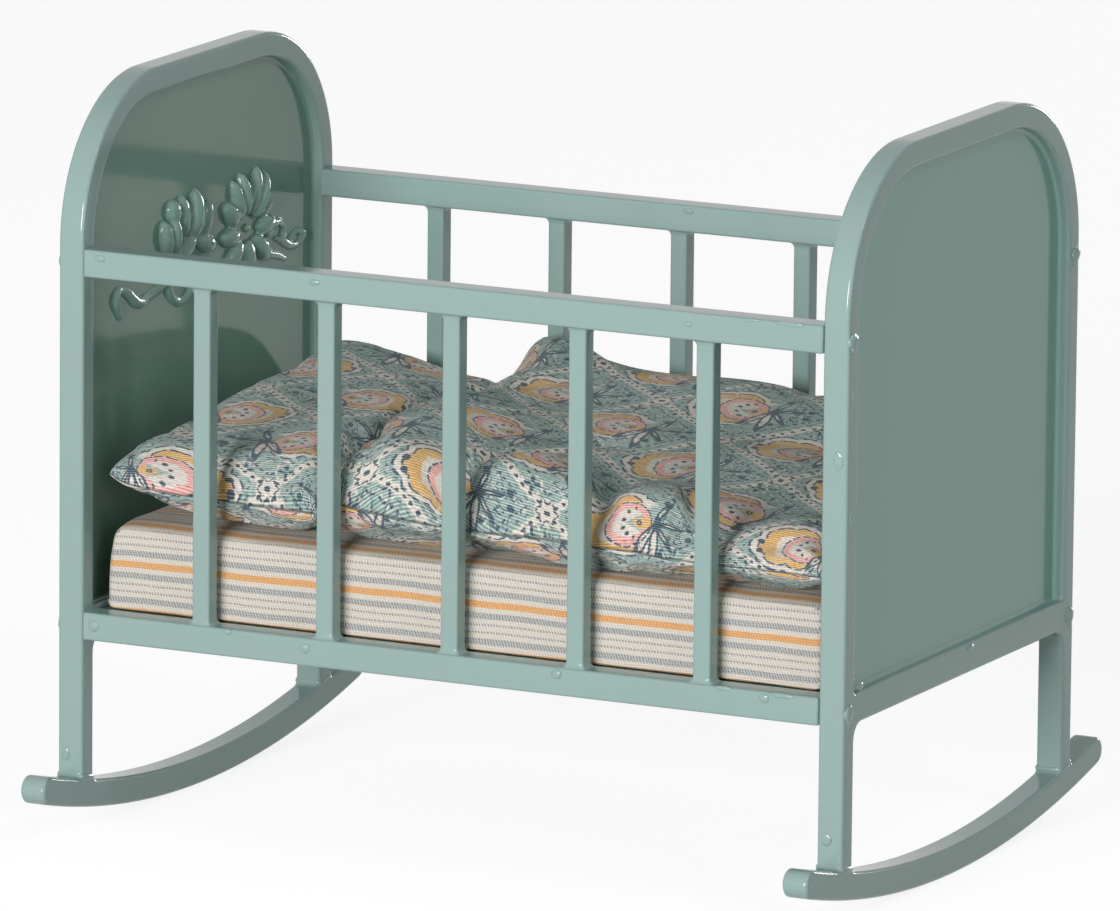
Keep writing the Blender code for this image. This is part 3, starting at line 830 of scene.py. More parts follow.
def makePrintGroup():
    # an old block-print layout: a lattice of dotted ribbons, a palmette in each lozenge
    look = printLook
    halfX, halfY = look["repeatX"] / 2, look["repeatY"] / 2
    group, given, result = newGroup("blockPrint", [("Vector", "NodeSocketVector", None),
                                                   ("Facing", "NodeSocketFloat", 1.0)],
                                    [("Color", "NodeSocketColor"), ("Ink", "NodeSocketFloat")])

    def dashed(value, rate, share):
        return rampBetween(sine(times(value, rate)), share - 0.25, share + 0.15)

    # the drawing wanders a little, as a hand-cut block's does
    place = given["Vector"]
    for scale, amount in look["wander"]:
        spread = addNode(group, "VectorMath", {"operation": "SUBTRACT"},
                         {0: noiseAt(given["Vector"], scale, 2.0)["Color"], 1: (0.5, 0.5, 0.5)})
        place = addNode(group, "VectorMath", {"operation": "ADD"},
                        {0: place, 1: scaled(spread.outputs[0], amount)}).outputs[0]
    u, v = partsOf(place)[:2]
    nearX, nearY = wrap(u, halfX), wrap(v, halfY)
    farX, farY = wrap(add(u, halfX), halfX), wrap(add(v, halfY), halfY)
    spanA = add(over(positive(nearX), halfX), over(positive(nearY), halfY))
    other = maths("GREATER_THAN", spanA, 1.0)

    def choose(first, second):
        return timesAdd(less(second, first), other, first)

    x, y = times(choose(nearX, farX), given["Facing"]), choose(nearY, farY)
    shareX, shareY = over(positive(x), halfX), over(positive(y), halfY)
    slant = math.hypot(halfX, halfY)
    fromRibbon = times(less(1.0, add(shareX, shareY)), halfX * halfY / slant)
    alongRibbon = times(less(shareX, shareY), slant / 2)
    ribbon = inside(fromRibbon, add(0.48, times(sine(times(alongRibbon, 4.8)), 0.1)), 0.2)
    beadAlong = wrap(alongRibbon, 0.66)
    bead = inside(lengthOf(times(beadAlong, 0.8), fromRibbon), 0.25, 0.14)
    edging = both(band(fromRibbon, 0.9, 0.1), dashed(alongRibbon, 3.7, 0.35))

    # palmette: a scalloped crescent round a fan of seeds, its stems tied at a knot towards +x
    knotX = less(x, 2.65)

    def around(shiftX, stretch=1.0, shiftY=0.0):
        # distance and turn about a point on the palmette's axis, the head at turn 0
        awayX, awayY = times(add(knotX, shiftX), stretch), less(y, shiftY)
        return lengthOf(awayX, awayY), maths("ARCTAN2", awayY, times(awayX, -1.0))

    reach, turn = around(5.2, 0.86)
    lobes = maths("POWER", positive(cosine(times(turn, 3.5))), 0.55)
    fromScallop = less(reach, timesAdd(lobes, 0.62, 3.75))
    innerReach, innerTurn = around(4.5, 0.88)
    innerLobes = positive(cosine(times(innerTurn, 2.5)))
    fromInner = less(innerReach, timesAdd(innerLobes, -0.45, 3.45))
    side = positive(turn)
    openEnd = inside(side, 2.3, 0.15)
    petal = both(inside(fromScallop, 0.0, 0.14), openEnd)
    petalLine = both(band(fromScallop, 0.1, 0.13), openEnd, dashed(turn, 13.0, -0.86))
    halo = both(inside(fromScallop, 0.95, 0.2), inside(side, 2.55, 0.2))
    dashes = both(band(fromScallop, 1.02, 0.15), dashed(turn, 17.0, -0.55), inside(side, 2.5, 0.15))
    paleHeart = both(inside(fromInner, 0.0, 0.2), inside(positive(innerTurn), 2.6, 0.2))
    domeReach, domeTurn = around(3.9)
    knotReach, knotTurn = around(-0.1)
    fan = inside(positive(knotTurn), 1.18, 0.1)
    ring = both(band(domeReach, 2.62, 0.46, 0.2), fan)
    fanSides = both(band(positive(knotTurn), 1.2, 0.05, 0.04), inside(domeReach, 3.2))
    ringLine = both(either(band(domeReach, 3.16, 0.12), fanSides), dashed(domeTurn, 15.0, -0.8),
                    inside(positive(knotTurn), 1.3, 0.1))
    heartReach, heartTurn = around(2.4)
    seedTurn = wrap(add(heartTurn, 0.27), 0.27)
    seeds = both(inside(lengthOf(times(seedTurn, 2.3), less(heartReach, 2.3)), 0.31, 0.16),
                 inside(positive(heartTurn), 1.35, 0.1))
    heart = inside(around(1.9, 0.5)[0], 0.75, 0.2)
    heartDot = both(inside(heartReach, 0.42, 0.14), rampBetween(heartReach, 0.08, 0.2))
    knotted = inside(knotReach, 0.5, 0.25)
    leafMasks, stemMasks = [], []
    for degrees, long, wide in look["leaves"]:
        leafCos, leafSin = math.cos(math.radians(degrees)), math.sin(math.radians(degrees))
        alongLeaf = less(add(times(knotX, leafCos), times(y, leafSin)), long + 0.35)
        acrossLeaf = less(times(y, leafCos), times(knotX, leafSin))
        leafReach = lengthOf(times(alongLeaf, wide / long), acrossLeaf)
        leafMasks.append(inside(leafReach, wide, 0.14))
        stemMasks.append(band(leafReach, wide, 0.16))
    leaves, stems = either(*leafMasks), either(*stemMasks)
    tips = inside(lengthOf(less(knotX, 0.95), less(positive(y), 3.6)), 0.42, 0.2)
    outerBeads = both(band(fromRibbon, 1.72, 0.15), dashed(alongRibbon, 6.1, 0.0),
                      rampBetween(fromScallop, 1.2, 1.5))
    smallSprig = both(band(lengthOf(less(knotX, 3.3), less(positive(y), 1.5)), 0.5, 0.12),
                      dashed(add(x, y), 7.0, -0.4))
    # fine broken strokes on the open ground
    web = addNode(group, "TexVoronoi", {"feature": "DISTANCE_TO_EDGE"}, {"Vector": place, "Scale": 0.62})
    openGround = both(rampBetween(noiseAt(place, 0.9, 1.0)[0], 0.44, 0.54),
                      rampBetween(fromRibbon, 1.1, 1.5), rampBetween(fromScallop, 1.1, 1.4))
    scribble = both(inside(web.outputs["Distance"], 0.055, 0.05), openGround)
    flecks = both(band(web.outputs["Distance"], 0.135, 0.045, 0.05), openGround,
                  rampBetween(sine(times(add(x, y), 3.1)), -0.2, 0.2))
    # a rosette over each crossing of the ribbons, sprigs beside it
    corner = maths("MINIMUM", lengthOf(less(positive(x), halfX), y),
                   lengthOf(x, less(positive(y), halfY)))
    aroundX = less(positive(x), times(maths("GREATER_THAN", shareX, shareY), halfX))
    aroundY = less(positive(y), times(maths("GREATER_THAN", shareY, shareX), halfY))
    cornerTurn = maths("ARCTAN2", aroundY, aroundX)
    rosette = inside(corner, 1.75, 0.2)
    rosetteLine = both(band(less(corner, times(cosine(times(cornerTurn, 6.0)), 0.16)), 1.3, 0.15),
                       dashed(cornerTurn, 12.0, -0.75))
    rosetteDot = inside(corner, 0.36, 0.16)
    sprigX, sprigY = less(positive(less(x, 0.6)), 2.6), less(positive(y), 7.5)
    sprigReach = lengthOf(sprigX, sprigY)
    sprigTurn = maths("ARCTAN2", sprigY, sprigX)
    sprig = both(inside(sprigReach, add(0.55, times(cosine(times(sprigTurn, 4.0)), 0.5)), 0.2),
                 rampBetween(sprigReach, 0.16, 0.3))
    sprigPale = both(band(sprigReach, 1.35, 0.16, 0.14), dashed(sprigTurn, 9.0, 0.0))
    farSprig = inside(lengthOf(less(positive(x), 7.4), less(positive(y), 0.95)), 0.5, 0.2)

    colour = look["ground"]
    navy = either(bead, times(edging, 0.8), petalLine, dashes, ringLine, seeds, heartDot, stems,
                  knotted, tips, outerBeads, smallSprig, rosetteLine, rosetteDot, sprig, farSprig,
                  times(scribble, 0.8))
    layers = ((either(ribbon, halo, leaves, rosette, sprigPale, times(flecks, 0.75)), look["cream"]),
              (petal, look["ochre"]), (paleHeart, look["cream"]), (ring, look["pink"]),
              (leaves, look["cream"]), (heart, look["ochre"]), (navy, look["navy"]))
    for mask, tone in layers:
        colour = mixColour(mask, colour, tone)
    feed(result["Color"], colour)
    feed(result["Ink"], navy)
    return group


printGroup = makePrintGroup()


def makePrintedCotton(name, facing):
    look = printLook
    material, tree, shader = newMaterial(name, (0.45, 0.55, 0.52, 1.0))
    place = cutPlace(tree, "print")
    drawn = useGroup(tree, printGroup, {"Vector": scaled(place, look["scale"]), "Facing": facing})
    yarn = useGroup(tree, yarnGroup, {"Vector": place, "Pitch Along": look["yarnPitch"],
                                      "Pitch Across": look["ribPitch"]})
    # pale yarns stand out of the ink as ribs, broken here and there
    broken = timesAdd(rampBetween(yarn["Slub"], 0.34, 0.60), 0.44, 0.22)
    bare = both(rampBetween(yarn["Rib"], 0.38, 0.85), broken, timesAdd(drawn["Ink"], -0.68, 1.0))
    # painted shade in the valleys between the ribs, with a random grain in the tone
    grain = noiseAt(place, 1.9, 2.0)[0]
    valleyShadeAndGrain = timesAdd(rampBetween(yarn["Rib"], 0.0, 0.55), 0.26, timesAdd(grain, 0.9, 0.36))
    colour = mixColour(bare, dim(drawn["Color"], valleyShadeAndGrain), look["groundPale"])
    colour = dim(colour, timesAdd(noiseAt(place, 0.12, 3.0)[0], 0.3, 0.92))
    # a stitched valley along the hem
    hemAlong, fromHem = partsOf(cutPlace(tree, "hem"))[:2]
    stitches = both(band(fromHem, 1.25, 0.12, 0.1), rampBetween(sine(times(hemAlong, 4.2)), -0.1, 0.3))
    shade = most(times(rampBetween(fromHem, 0.38, 0.05), 0.72), times(stitches, 0.4))
    height = add(times(yarn["Height"], 0.9), times(rampBetween(fromHem, 0.0, 0.7), 2.5))
    finishCloth(tree, shader, look, mixColour(shade, colour, look["hemShade"]), height)
    return material


tickingCloth = makeTicking()
pillowCotton = makePrintedCotton("pillowCotton", -1.0)
duvetCotton = makePrintedCotton("duvetCotton", 1.0)
print("cloth materials ready")


# Soft pieces: two sheets of cloth joined at a hem, shaped in millimetres and then
# swollen and wrinkled by a cloth simulation
def tableHeight(table, x, y):
    rows = [smoothAlong(table["x"], row, x) for row in table["heights"]]
    return smoothAlong(table["y"], rows, y)


def creaseDepth(creases, x, y):
    total = 0.0
    for startX, startY, stopX, stopY, depth, width in creases:
        line = Vector((stopX - startX, stopY - startY))
        share = max(0.0, min(1.0, (Vector((x - startX, y - startY))).dot(line) / line.length_squared))
        away = (Vector((x, y)) - Vector((startX, startY)) - line * share).length
        fade = math.sin(math.pi * (0.12 + 0.76 * share))
        total += depth * fade * math.exp(-(away / width) ** 2)
    return total


def edgeTurn(flat, cloth, radius):
    # along a sheet from its hem: how far in, and how much of the full height
    if flat >= cloth:
        return radius + flat - cloth, 1.0
    angle = math.pi / 2 * flat / cloth
    return radius * (1 - math.cos(angle)), math.sin(angle)


def turnedPlace(values, turns, flats):
    lowX, highX, lowY, highY = values["box"]
    edges = [edgeTurn(*edge) for edge in zip(flats, values["cloths"], turns)]
    (left, right, front, back), rises = zip(*edges)
    place = (lowX + (highX - lowX) * left / (left + right),
             lowY + (highY - lowY) * front / (front + back))
    return place, max(0.0, rises[0] * rises[1] * rises[2] * rises[3])


def shapeSheet(values, upper):
    # one sheet as a grid on its flat cut, then bent to its form
    lowX, highX, lowY, highY = values["box"]
    cloths = values["cloths"]
    flatX = highX - lowX + cloths[0] - values["turns"][0] + cloths[1] - values["turns"][1]
    flatY = highY - lowY + cloths[2] - values["turns"][2] + cloths[3] - values["turns"][3]
    bm = bmesh.new()
    across = round(flatX / values["spacing"])
    along = round(flatY / values["spacing"])
    bmesh.ops.create_grid(bm, x_segments=across, y_segments=along, size=0.5)
    stretchVerts(bm, (flatX, flatY, 1.0))
    if not upper:
        bmesh.ops.reverse_faces(bm, faces=bm.faces[:])
    printMap = bm.loops.layers.uv.new("print")
    hem = bm.loops.layers.uv.new("hem")
    turn = math.radians(values["printTurn"])
    shift = values["printShift"] if upper else values["underShift"]
    pulls = values["pulls"] if upper else ()
    for face in bm.faces:
        middle = face.calc_center_median()
        gapX = flatX / 2 - abs(middle.x)
        gapY = flatY / 2 - abs(middle.y)
        for loop in face.loops:
            place = loop.vert.co
            drawnX, drawnY = place.x, place.y
            for x, y, moveX, moveY, wide, deep in pulls:
                fade = math.exp(-((place.x - x) / wide) ** 2 - (max(0.0, place.y - y) / deep) ** 2)
                drawnX, drawnY = drawnX - moveX * fade, drawnY - moveY * fade
            turnedX = drawnX * math.cos(turn) + drawnY * math.sin(turn)
            turnedY = drawnY * math.cos(turn) - drawnX * math.sin(turn)
            loop[printMap].uv = ((turnedX + shift[0]) / 1000, (turnedY + shift[1]) / 1000)
            nearX, nearY = flatX / 2 - abs(place.x), flatY / 2 - abs(place.y)
            if gapX < gapY:
                loop[hem].uv = (place.y / 1000, nearX / 1000)
            else:
                loop[hem].uv = (place.x / 1000, nearY / 1000)
    for vert in bm.verts:
        flats = (vert.co.x + flatX / 2, flatX / 2 - vert.co.x,
                 vert.co.y + flatY / 2, flatY / 2 - vert.co.y)
        (x, y), rise = turnedPlace(values, values["turns"], flats)
        if not upper:
            inner, rise = turnedPlace(values, values["underTurns"], flats)
            inward = min(1.0, min(flats) / 9.0)
            x, y = x + (inner[0] - x) * inward, y + (inner[1] - y) * inward
        shareX = 2 * (x - lowX) / (highX - lowX) - 1
        shareY = 2 * (y - lowY) / (highY - lowY) - 1
        drawn = values["draw"]
        x -= math.copysign(drawn * (1 - shareY ** 2) * shareX ** 6, shareX)
        y -= math.copysign(drawn * (1 - shareX ** 2) * shareY ** 6, shareY)
        hemHeight = tableHeight(values["hemTable"], x, y)
        if upper:
            top = tableHeight(values["crownTable"], x, y) - creaseDepth(values["creases"], x, y)
            z = hemHeight + (top - hemHeight) * rise ** values["fullness"]
        else:
            rest = values["rest"] + tableHeight(values["liftTable"], x, y)
            z = hemHeight - (hemHeight - rest) * min(1.0, rise ** 0.7)
        vert.co = (x, y, z)
    return bm


# The cloth simulation. Millimetres times grow are the units it runs in.
clothSettle = {"grow": 0.007, "frames": 20, "quality": 6, "mass": 0.3, "shear": 5.0}


def settleCloth(mesh, values):
    # swell the closed cloth by a short simulation at a larger scale, and keep its moves small
    grow = clothSettle["grow"]
    copied = mesh.copy()
    copied.transform(Matrix.Scale(grow, 4))
    holder = placeObject("clothTrial", copied)
    held = holder.vertex_groups.new(name="held")
    for vert in mesh.vertices:
        grip = values["grip"](vert.co)
        if grip > 0:
            held.add([vert.index], grip, "REPLACE")
    cloth = holder.modifiers.new("cloth", "CLOTH")
    for key, value in (("quality", clothSettle["quality"]), ("mass", clothSettle["mass"]),
                       ("tension_stiffness", values["stiffness"]),
                       ("compression_stiffness", values["stiffness"]),
                       ("shear_stiffness", clothSettle["shear"]), ("bending_stiffness", values["bending"]),
                       ("use_pressure", True), ("uniform_pressure_force", values["pressure"]),
                       ("shrink_min", values["shrink"]), ("vertex_group_mass", "held")):
        setattr(cloth.settings, key, value)
    cloth.settings.effector_weights.gravity = 0.0
    cloth.point_cache.frame_start = 1
    cloth.point_cache.frame_end = clothSettle["frames"]
    for step in range(1, clothSettle["frames"] + 1):
        scene.frame_set(step)
    shaped = holder.evaluated_get(bpy.context.evaluated_depsgraph_get()).data
    for vert, after in zip(mesh.vertices, shaped.vertices):
        move = after.co / grow - vert.co
        if move.length > values["mostMove"]:
            move *= values["mostMove"] / move.length
        place = vert.co + move
        place.z = max(place.z, values["floor"])
        vert.co = values["keepIn"](place)
    scene.frame_set(1)
    bpy.data.objects.remove(holder)
    bpy.data.meshes.remove(copied)


def addSoftPiece(bm, name, values, material, body, replaced):
    mesh = toMesh(bm, name)
    settleCloth(mesh, values)
    mesh.transform(Matrix.Scale(0.001, 4))
    mesh.materials.append(material)
    mesh.shade_smooth()
    piece = placeObject(name, mesh)
    finer = piece.modifiers.new("finer", "SUBSURF")
    finer.levels = finer.render_levels = 1
    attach(piece, body)
    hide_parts(replaced)
    return piece


def makeBedding(name, values, material, body, replaced):
    bm = shapeSheet(values, True)
    addInto(bm, shapeSheet(values, False))
    bmesh.ops.remove_doubles(bm, verts=bm.verts[:], dist=0.02)
    print(name, "open edges", sum(edge.is_boundary for edge in bm.edges))
    return addSoftPiece(bm, name, values, material, body, replaced)


def clothGrip(box, reach=0.9):
    # holds the hem, within reach of the box's sides
    lowX, highX, lowY, highY = box

    def grip(place):
        edge = min(place.x - lowX, highX - place.x, place.y - lowY, highY - place.y)
        return 1.0 if edge < reach else 0.0
    return grip


def boxKeeper(lowX, highX, lowY, highY):
    def keepIn(place):
        return Vector((min(max(place.x, lowX), highX), min(max(place.y, lowY), highY), place.z))
    return keepIn


pillowShape = {
    "box": (-61.6, -25.4, -36.2, 36.2),
    "spacing": 1.0,
    "turns": (4.5, 4.0, 6.5, 5.5), "underTurns": (3.0, 3.0, 3.0, 3.0), "cloths": (8.0, 8.0, 11.5, 10.5),
    "draw": 1.2, "fullness": 0.62,
    "printTurn": 5.0, "printShift": (10.0, 13.0), "underShift": (9.0, 5.0),
    # print drawn aside by the gathers: flat place, move, reach
    "pulls": ((-13.0, -34.5, -5.4, 2.4, 11.0, 11.0),),
    "crownTable": {"x": (-62, -54, -44, -34, -25), "y": (-36, -28, -15, 0, 15, 28, 36),
                   "heights": ((60.0, 59.0, 58.8, 59.5, 60.0), (60.8, 60.4, 60.4, 61.0, 61.5),
                               (61.6, 62.0, 62.4, 62.2, 62.0), (62.4, 63.6, 63.8, 63.0, 62.5),
                               (63.2, 64.6, 64.8, 63.4, 62.5), (64.2, 65.8, 64.8, 62.6, 62.2),
                               (64.2, 65.6, 63.8, 61.6, 61.4))},
    "hemTable": {"x": (-62, -59, -52, -42, -25), "y": (-37, -30, 0, 37),
                 "heights": ((56.4, 54.8, 53.8, 53.3, 53.4), (56.2, 54.6, 53.8, 53.3, 53.4),
                             (55.5, 54.2, 53.6, 53.0, 53.5), (56.5, 55.0, 54.0, 54.0, 54.5))},
    "liftTable": {"x": (-62, -56, -47, -36, -25), "y": (-37, -32, -24, -12, 37),
                  "heights": ((5.2, 3.9, 2.9, 2.2, 1.8), (6.0, 3.8, 2.2, 1.4, 1.2),
                              (3.0, 1.6, 0.5, 0.1, 0.0), (1.0, 0.4, 0.0, 0.0, 0.0),
                              (0.6, 0.2, 0.0, 0.0, 0.0))},
    "rest": 49.35,
    "creases": ((-45.0, -37.5, -45.5, -27.0, 1.6, 1.6), (-50.0, -20.0, -40.0, 6.0, 0.7, 4.0)),
    "stiffness": 12.0, "bending": 0.4, "pressure": 4.0, "shrink": -0.03, "mostMove": 1.0,
    "floor": 49.15,
}
pillowShape["grip"] = clothGrip(pillowShape["box"])
pillowShape["keepIn"] = boxKeeper(-61.95, -25.05, -36.9, 36.9)

duvetShape = {
    "box": (-24.0, 61.3, -36.5, 36.5),
    "spacing": 1.1,
    "turns": (3.6, 4.5, 6.5, 5.5), "underTurns": (3.0, 3.0, 3.0, 3.0), "cloths": (11.5, 9.0, 12.5, 12.0),
    "draw": 1.0, "fullness": 0.7,
    "printTurn": 4.0, "printShift": (-8.6, 12.4), "underShift": (7.0, 9.0),
    "pulls": ((-25.0, -33.0, 0.0, 6.8, 12.0, 13.0),),
    "crownTable": {"x": (-24, -14, -4, 8, 20, 31, 43, 54, 62), "y": (-37, -29, -18, -5, 8, 22, 31, 37),
                   "heights": ((62.0, 63.0, 60.0, 60.5, 58.0, 59.0, 56.5, 57.0, 56.5),
                               (64.0, 65.0, 62.0, 63.5, 60.0, 61.0, 57.2, 58.2, 57.6),
                               (66.0, 66.5, 63.0, 62.5, 59.5, 59.8, 58.0, 58.0, 58.0),
                               (67.0, 66.0, 64.0, 63.0, 62.0, 61.5, 61.0, 60.5, 60.0),
                               (67.2, 65.5, 64.0, 64.0, 63.5, 63.0, 62.0, 61.5, 61.5),
                               (67.4, 67.0, 66.2, 66.2, 66.4, 66.0, 65.0, 64.5, 64.0),
                               (69.6, 69.4, 67.8, 67.4, 67.0, 66.0, 64.7, 64.2, 63.7),
                               (71.6, 70.2, 68.2, 67.4, 66.8, 65.8, 64.4, 63.9, 63.4))},
    "hemTable": {"x": (-24, -18, -10, 20, 62), "y": (-37, 0, 18, 29, 37),
                 "heights": ((55.8, 54.8, 53.8, 52.6, 52.5), (54.4, 54.2, 53.8, 53.8, 53.4),
                             (56.0, 55.6, 55.0, 54.2, 53.6), (62.0, 60.6, 57.6, 55.0, 54.0),
                             (64.0, 62.4, 59.0, 56.0, 54.6))},
    "liftTable": {"x": (-24, -10, 10, 24, 40, 46, 62), "y": (-37, -32, -24, 0, 37),
                  "heights": ((2.4, 1.9, 1.3, 0.6, 0.5, 1.2, 1.3), (1.6, 1.2, 0.8, 0.4, 0.3, 0.7, 0.8),
                              (0.2, 0.0, 0.0, 0.0, 0.0, 0.0, 0.0), (0.2, 0.0, 0.0, 0.0, 0.0, 0.0, 0.0),
                              (0.4, 0.2, 0.2, 0.2, 0.2, 0.2, 0.2))},
    "rest": 49.35,
    "creases": ((-5.0, -37.5, -0.5, -22.0, 2.9, 1.7), (-1.0, -24.0, 10.0, -17.0, 1.4, 1.8),
                (22.0, -38.0, 20.0, -22.0, 2.4, 1.8), (41.0, -38.0, 45.0, -24.0, 2.2, 1.7),
                (2.0, -12.0, 22.0, -4.0, 0.9, 3.0), (30.0, 4.0, 52.0, 12.0, 0.9, 3.5),
                (-20.0, 6.0, -6.0, 22.0, 1.0, 2.6), (24.0, 14.0, 30.0, 34.0, 0.8, 2.6)),
    "stiffness": 12.0, "bending": 0.4, "pressure": 4.0, "shrink": -0.03, "mostMove": 1.2,
    "floor": 49.15,
}
duvetShape["grip"] = clothGrip(duvetShape["box"])
duvetShape["keepIn"] = boxKeeper(-24.4, 61.6, -37.0, 37.0)

makeBedding("pillowCushion", pillowShape, pillowCotton, "pillow", "pillow")
makeBedding("duvetCushion", duvetShape, duvetCotton, "duvet", "duvet")
print("bedding ready")


# Mattress: a foam block in striped ticking
mattressShape = {
    "low": (-62.3, -36.9, 35.05), "high": (61.7, 36.9, 48.75),
    "edgeRound": 1.5, "lowRound": 0.4, "segments": 5, "spacing": 1.6,
    # the top's slow dome, and how its edges fall within sideReach and headReach of them
    "crown": 0.3, "edgeFall": 0.9, "sideReach": 7.0, "headFall": 0.5, "headReach": 5.0,
    "slump": 2.6, "slumpFrom": 0.3,
    "stiffness": 20.0, "bending": 1.0, "pressure": 2.5, "shrink": -0.01, "mostMove": 0.45,
    "floor": 35.0,
}


def fixOrder(bm):
    # bevel's results come in an order that changes from run to run, and the simulation would follow it
    def rank(*verts):
        x, y, z = (round(math.fsum(vert.co[axis] for vert in verts) / len(verts), 3) for axis in range(3))
        return (x * 1e5 + y) * 1e5 + z

    bm.verts.sort(key=rank)
    bm.edges.sort(key=lambda edge: rank(*edge.verts))
    bm.faces.sort(key=lambda face: rank(*face.verts))


def makeMattress():
    low, high = Vector(mattressShape["low"]), Vector(mattressShape["high"])
    size = high - low
    centre = (low + high) / 2
    bm = bmesh.new()
    bmesh.ops.create_cube(bm, size=1.0)
    stretchVerts(bm, size)
    lower = [edge for edge in bm.edges if edge.verts[0].co.z < 0 and edge.verts[1].co.z < 0
             and abs(edge.verts[0].co.x - edge.verts[1].co.x) > size.x / 2]
    for edges, radius in ((lower, mattressShape["lowRound"]), (None, mattressShape["edgeRound"])):
        if edges is None:
            edges = [edge for edge in bm.edges if edge.calc_face_angle(0.0) > math.radians(60)]
        roundOff(bm, edges, radius, mattressShape["segments"])
    for axis in range(3):
        normal = Vector((0.0, 0.0, 0.0))
        normal[axis] = 1.0
        reach = size[axis] / 2 - mattressShape["edgeRound"]
        count = max(2, round(2 * reach / mattressShape["spacing"]))
        for step in range(1, count):
            bmesh.ops.bisect_plane(bm, geom=bm.verts[:] + bm.edges[:] + bm.faces[:], dist=0.0001,
                                   plane_co=normal * (2 * reach * step / count - reach),
                                   plane_no=normal)
    ticking = bm.loops.layers.uv.new("ticking")
    for face in bm.faces:
        for loop in face.loops:
            place = loop.vert.co
            drop = size.z / 2 - place.z
            flat = Vector((place.x, place.y))
            if abs(face.normal.y) > 0.7:
                flat.y = math.copysign(size.y / 2 + drop, place.y)
            elif abs(face.normal.x) > 0.7:
                flat.x = math.copysign(size.x / 2 + drop, place.x)
            loop[ticking].uv = flat / 1000
    sideReach, headReach = mattressShape["sideReach"], mattressShape["headReach"]
    for vert in bm.verts:
        place = vert.co
        shareX, shareY, shareZ = (2 * place[axis] / size[axis] for axis in range(3))
        upper = (1 + shareZ) / 2
        place.z += mattressShape["crown"] * (1 - shareX ** 2) * (1 - shareY ** 2) * shareZ
        sideward = max(0.0, abs(place.y) - (size.y / 2 - sideReach)) / sideReach
        place.z -= mattressShape["edgeFall"] * sideward ** 2 * upper
        headward = max(0.0, -place.x - (size.x / 2 - headReach)) / headReach
        place.z -= mattressShape["headFall"] * headward ** 2.4 * upper
        slump = max(0.0, upper - mattressShape["slumpFrom"]) ** 2 * headward ** 1.5
        place.x += mattressShape["slump"] * slump
    moveVerts(bm, centre)
    fixOrder(bm)
    mattressShape["grip"] = lambda place: 0.0
    mattressShape["keepIn"] = boxKeeper(low.x, high.x, low.y - 0.05, high.y + 0.05)
    return addSoftPiece(bm, "mattressBlock", mattressShape, tickingCloth,
                        "mattress", "mattress")


makeMattress()
print("mattress ready")


# Floor, light and camera
stageLook = {
    "floorSize": 3.0, "floorGlow": 0.84,
    "floorLit": (0.56, 0.59, 0.575, 1.0), "floorSeen": (0.33, 0.33, 0.33, 1.0),
    "fill": (0.92, 1.0, 0.96, 1.0), "fillStrength": 0.17,
    "white": (1.0, 1.0, 1.0, 1.0), "whiteStrength": 0.97,
}
# each lamp: name, place, target, size, power, colour
lamps = (
    ("keyLight", (-0.04, -1.70, 0.39), (0.0, 0.0, 0.05), (0.75, 0.5), 29.0, (1.0, 0.945, 0.965)),
    ("glintLight", (0.75, -0.35, 0.95), (0.0, 0.0, 0.08), (0.2, 0.2), 1.1, (1.0, 1.0, 1.0)),
    ("sideLight", (1.35, -0.25, 0.13), (0.0, 0.0, 0.06), (0.6, 0.2), 0.9, (0.95, 1.0, 0.97)),
    ("rimLight", (1.0, -0.72, 0.36), (0.0, 0.0, 0.08), (0.12, 0.5), 0.7, (1.0, 1.0, 1.0)),
    ("backLight", (0.3, 1.65, 0.16), (0.0, 0.0, 0.05), (0.5, 0.22), 6.0, (0.95, 1.0, 0.98)),
)
# the photograph's view, angles in degrees
cameraView = {"azimuth": 26.361, "elevation": 11.566, "roll": 0.55, "lens": 438.58, "distance": 2.12177,
              "target": (-0.001569, 0.0, 0.058707)}


def seenRays(tree):
    # 1 where the background is seen, directly, in a reflection or through glass
    rays = addNode(tree, "LightPath").outputs
    return most(rays["Is Camera Ray"], most(rays["Is Glossy Ray"], rays["Is Transmission Ray"]))


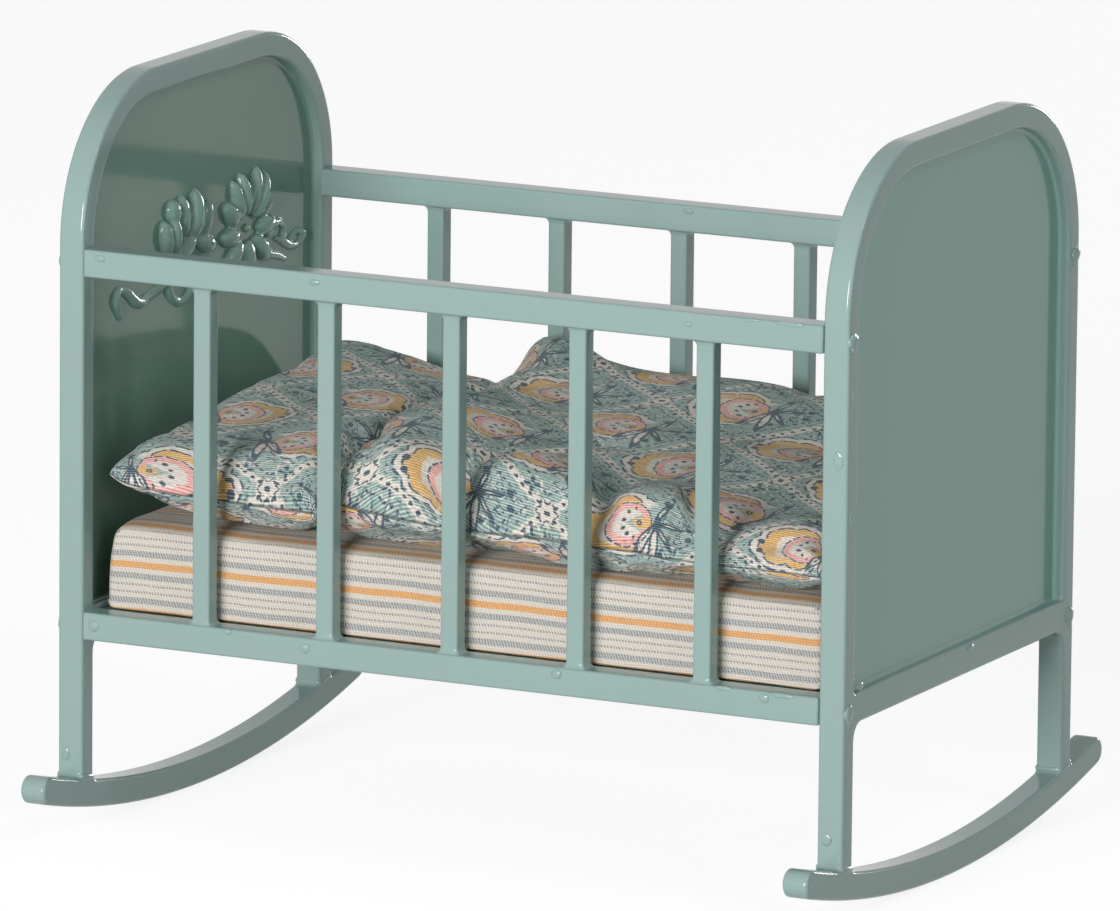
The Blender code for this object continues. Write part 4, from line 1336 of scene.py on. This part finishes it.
def setStage():
    bm = bmesh.new()
    bmesh.ops.create_grid(bm, x_segments=1, y_segments=1, size=stageLook["floorSize"])
    floor = placeObject("floor", toMesh(bm, "floor"))
    material, tree, shader = newMaterial("paleFloor", (0.9, 0.9, 0.9, 1.0))
    seen = seenRays(tree)
    setInputs(shader, {"Roughness": 0.9, "Specular IOR Level": 0.0, "Emission Color": stageLook["white"],
                       "Base Color": mixColour(seen, stageLook["floorLit"], stageLook["floorSeen"]),
                       "Emission Strength": times(seen, stageLook["floorGlow"])})
    floor.data.materials.append(material)
    world = bpy.data.worlds.new("studio")
    scene.world = world
    world.use_nodes = True
    tree = world.node_tree
    tree.nodes.clear()
    fill, white = (addNode(tree, "Background", None, {"Color": stageLook[key],
                                                      "Strength": stageLook[key + "Strength"]})
                   for key in ("fill", "white"))
    blend = addNode(tree, "MixShader", None, {0: seenRays(tree), 1: fill.outputs[0], 2: white.outputs[0]})
    addNode(tree, "OutputWorld", None, {0: blend.outputs[0]})


def addLamp(name, place, target, size, power, colour):
    lamp = bpy.data.lights.new(name, "AREA")
    lamp.shape = "RECTANGLE"
    lamp.size, lamp.size_y = size
    lamp.energy = power
    lamp.color = colour
    holder = placeObject(name, lamp)
    holder.location = place
    holder.rotation_mode = "QUATERNION"
    holder.rotation_quaternion = (Vector(target) - Vector(place)).to_track_quat("-Z", "Y")


def setCamera():
    azimuth, elevation, roll = (math.radians(cameraView[key]) for key in ("azimuth", "elevation", "roll"))
    target = Vector(cameraView["target"])
    back = Vector((math.sin(azimuth) * math.cos(elevation),
                   -math.cos(azimuth) * math.cos(elevation), math.sin(elevation)))
    right = Vector((math.cos(azimuth), math.sin(azimuth), 0.0))
    up = back.cross(right)
    turnedRight = right * math.cos(roll) + up * math.sin(roll)
    turnedUp = up * math.cos(roll) - right * math.sin(roll)
    camera = bpy.data.cameras.new("photoView")
    camera.sensor_width = 36.0
    camera.lens = cameraView["lens"]
    camera.clip_start = 0.1
    camera.clip_end = 100.0
    holder = placeObject("photoView", camera)
    turn = Matrix((turnedRight, turnedUp, back)).transposed().to_4x4()
    holder.matrix_world = Matrix.Translation(target + back * cameraView["distance"]) @ turn
    scene.camera = holder


setStage()
for lampValues in lamps:
    addLamp(*lampValues)
setCamera()
print("stage ready")
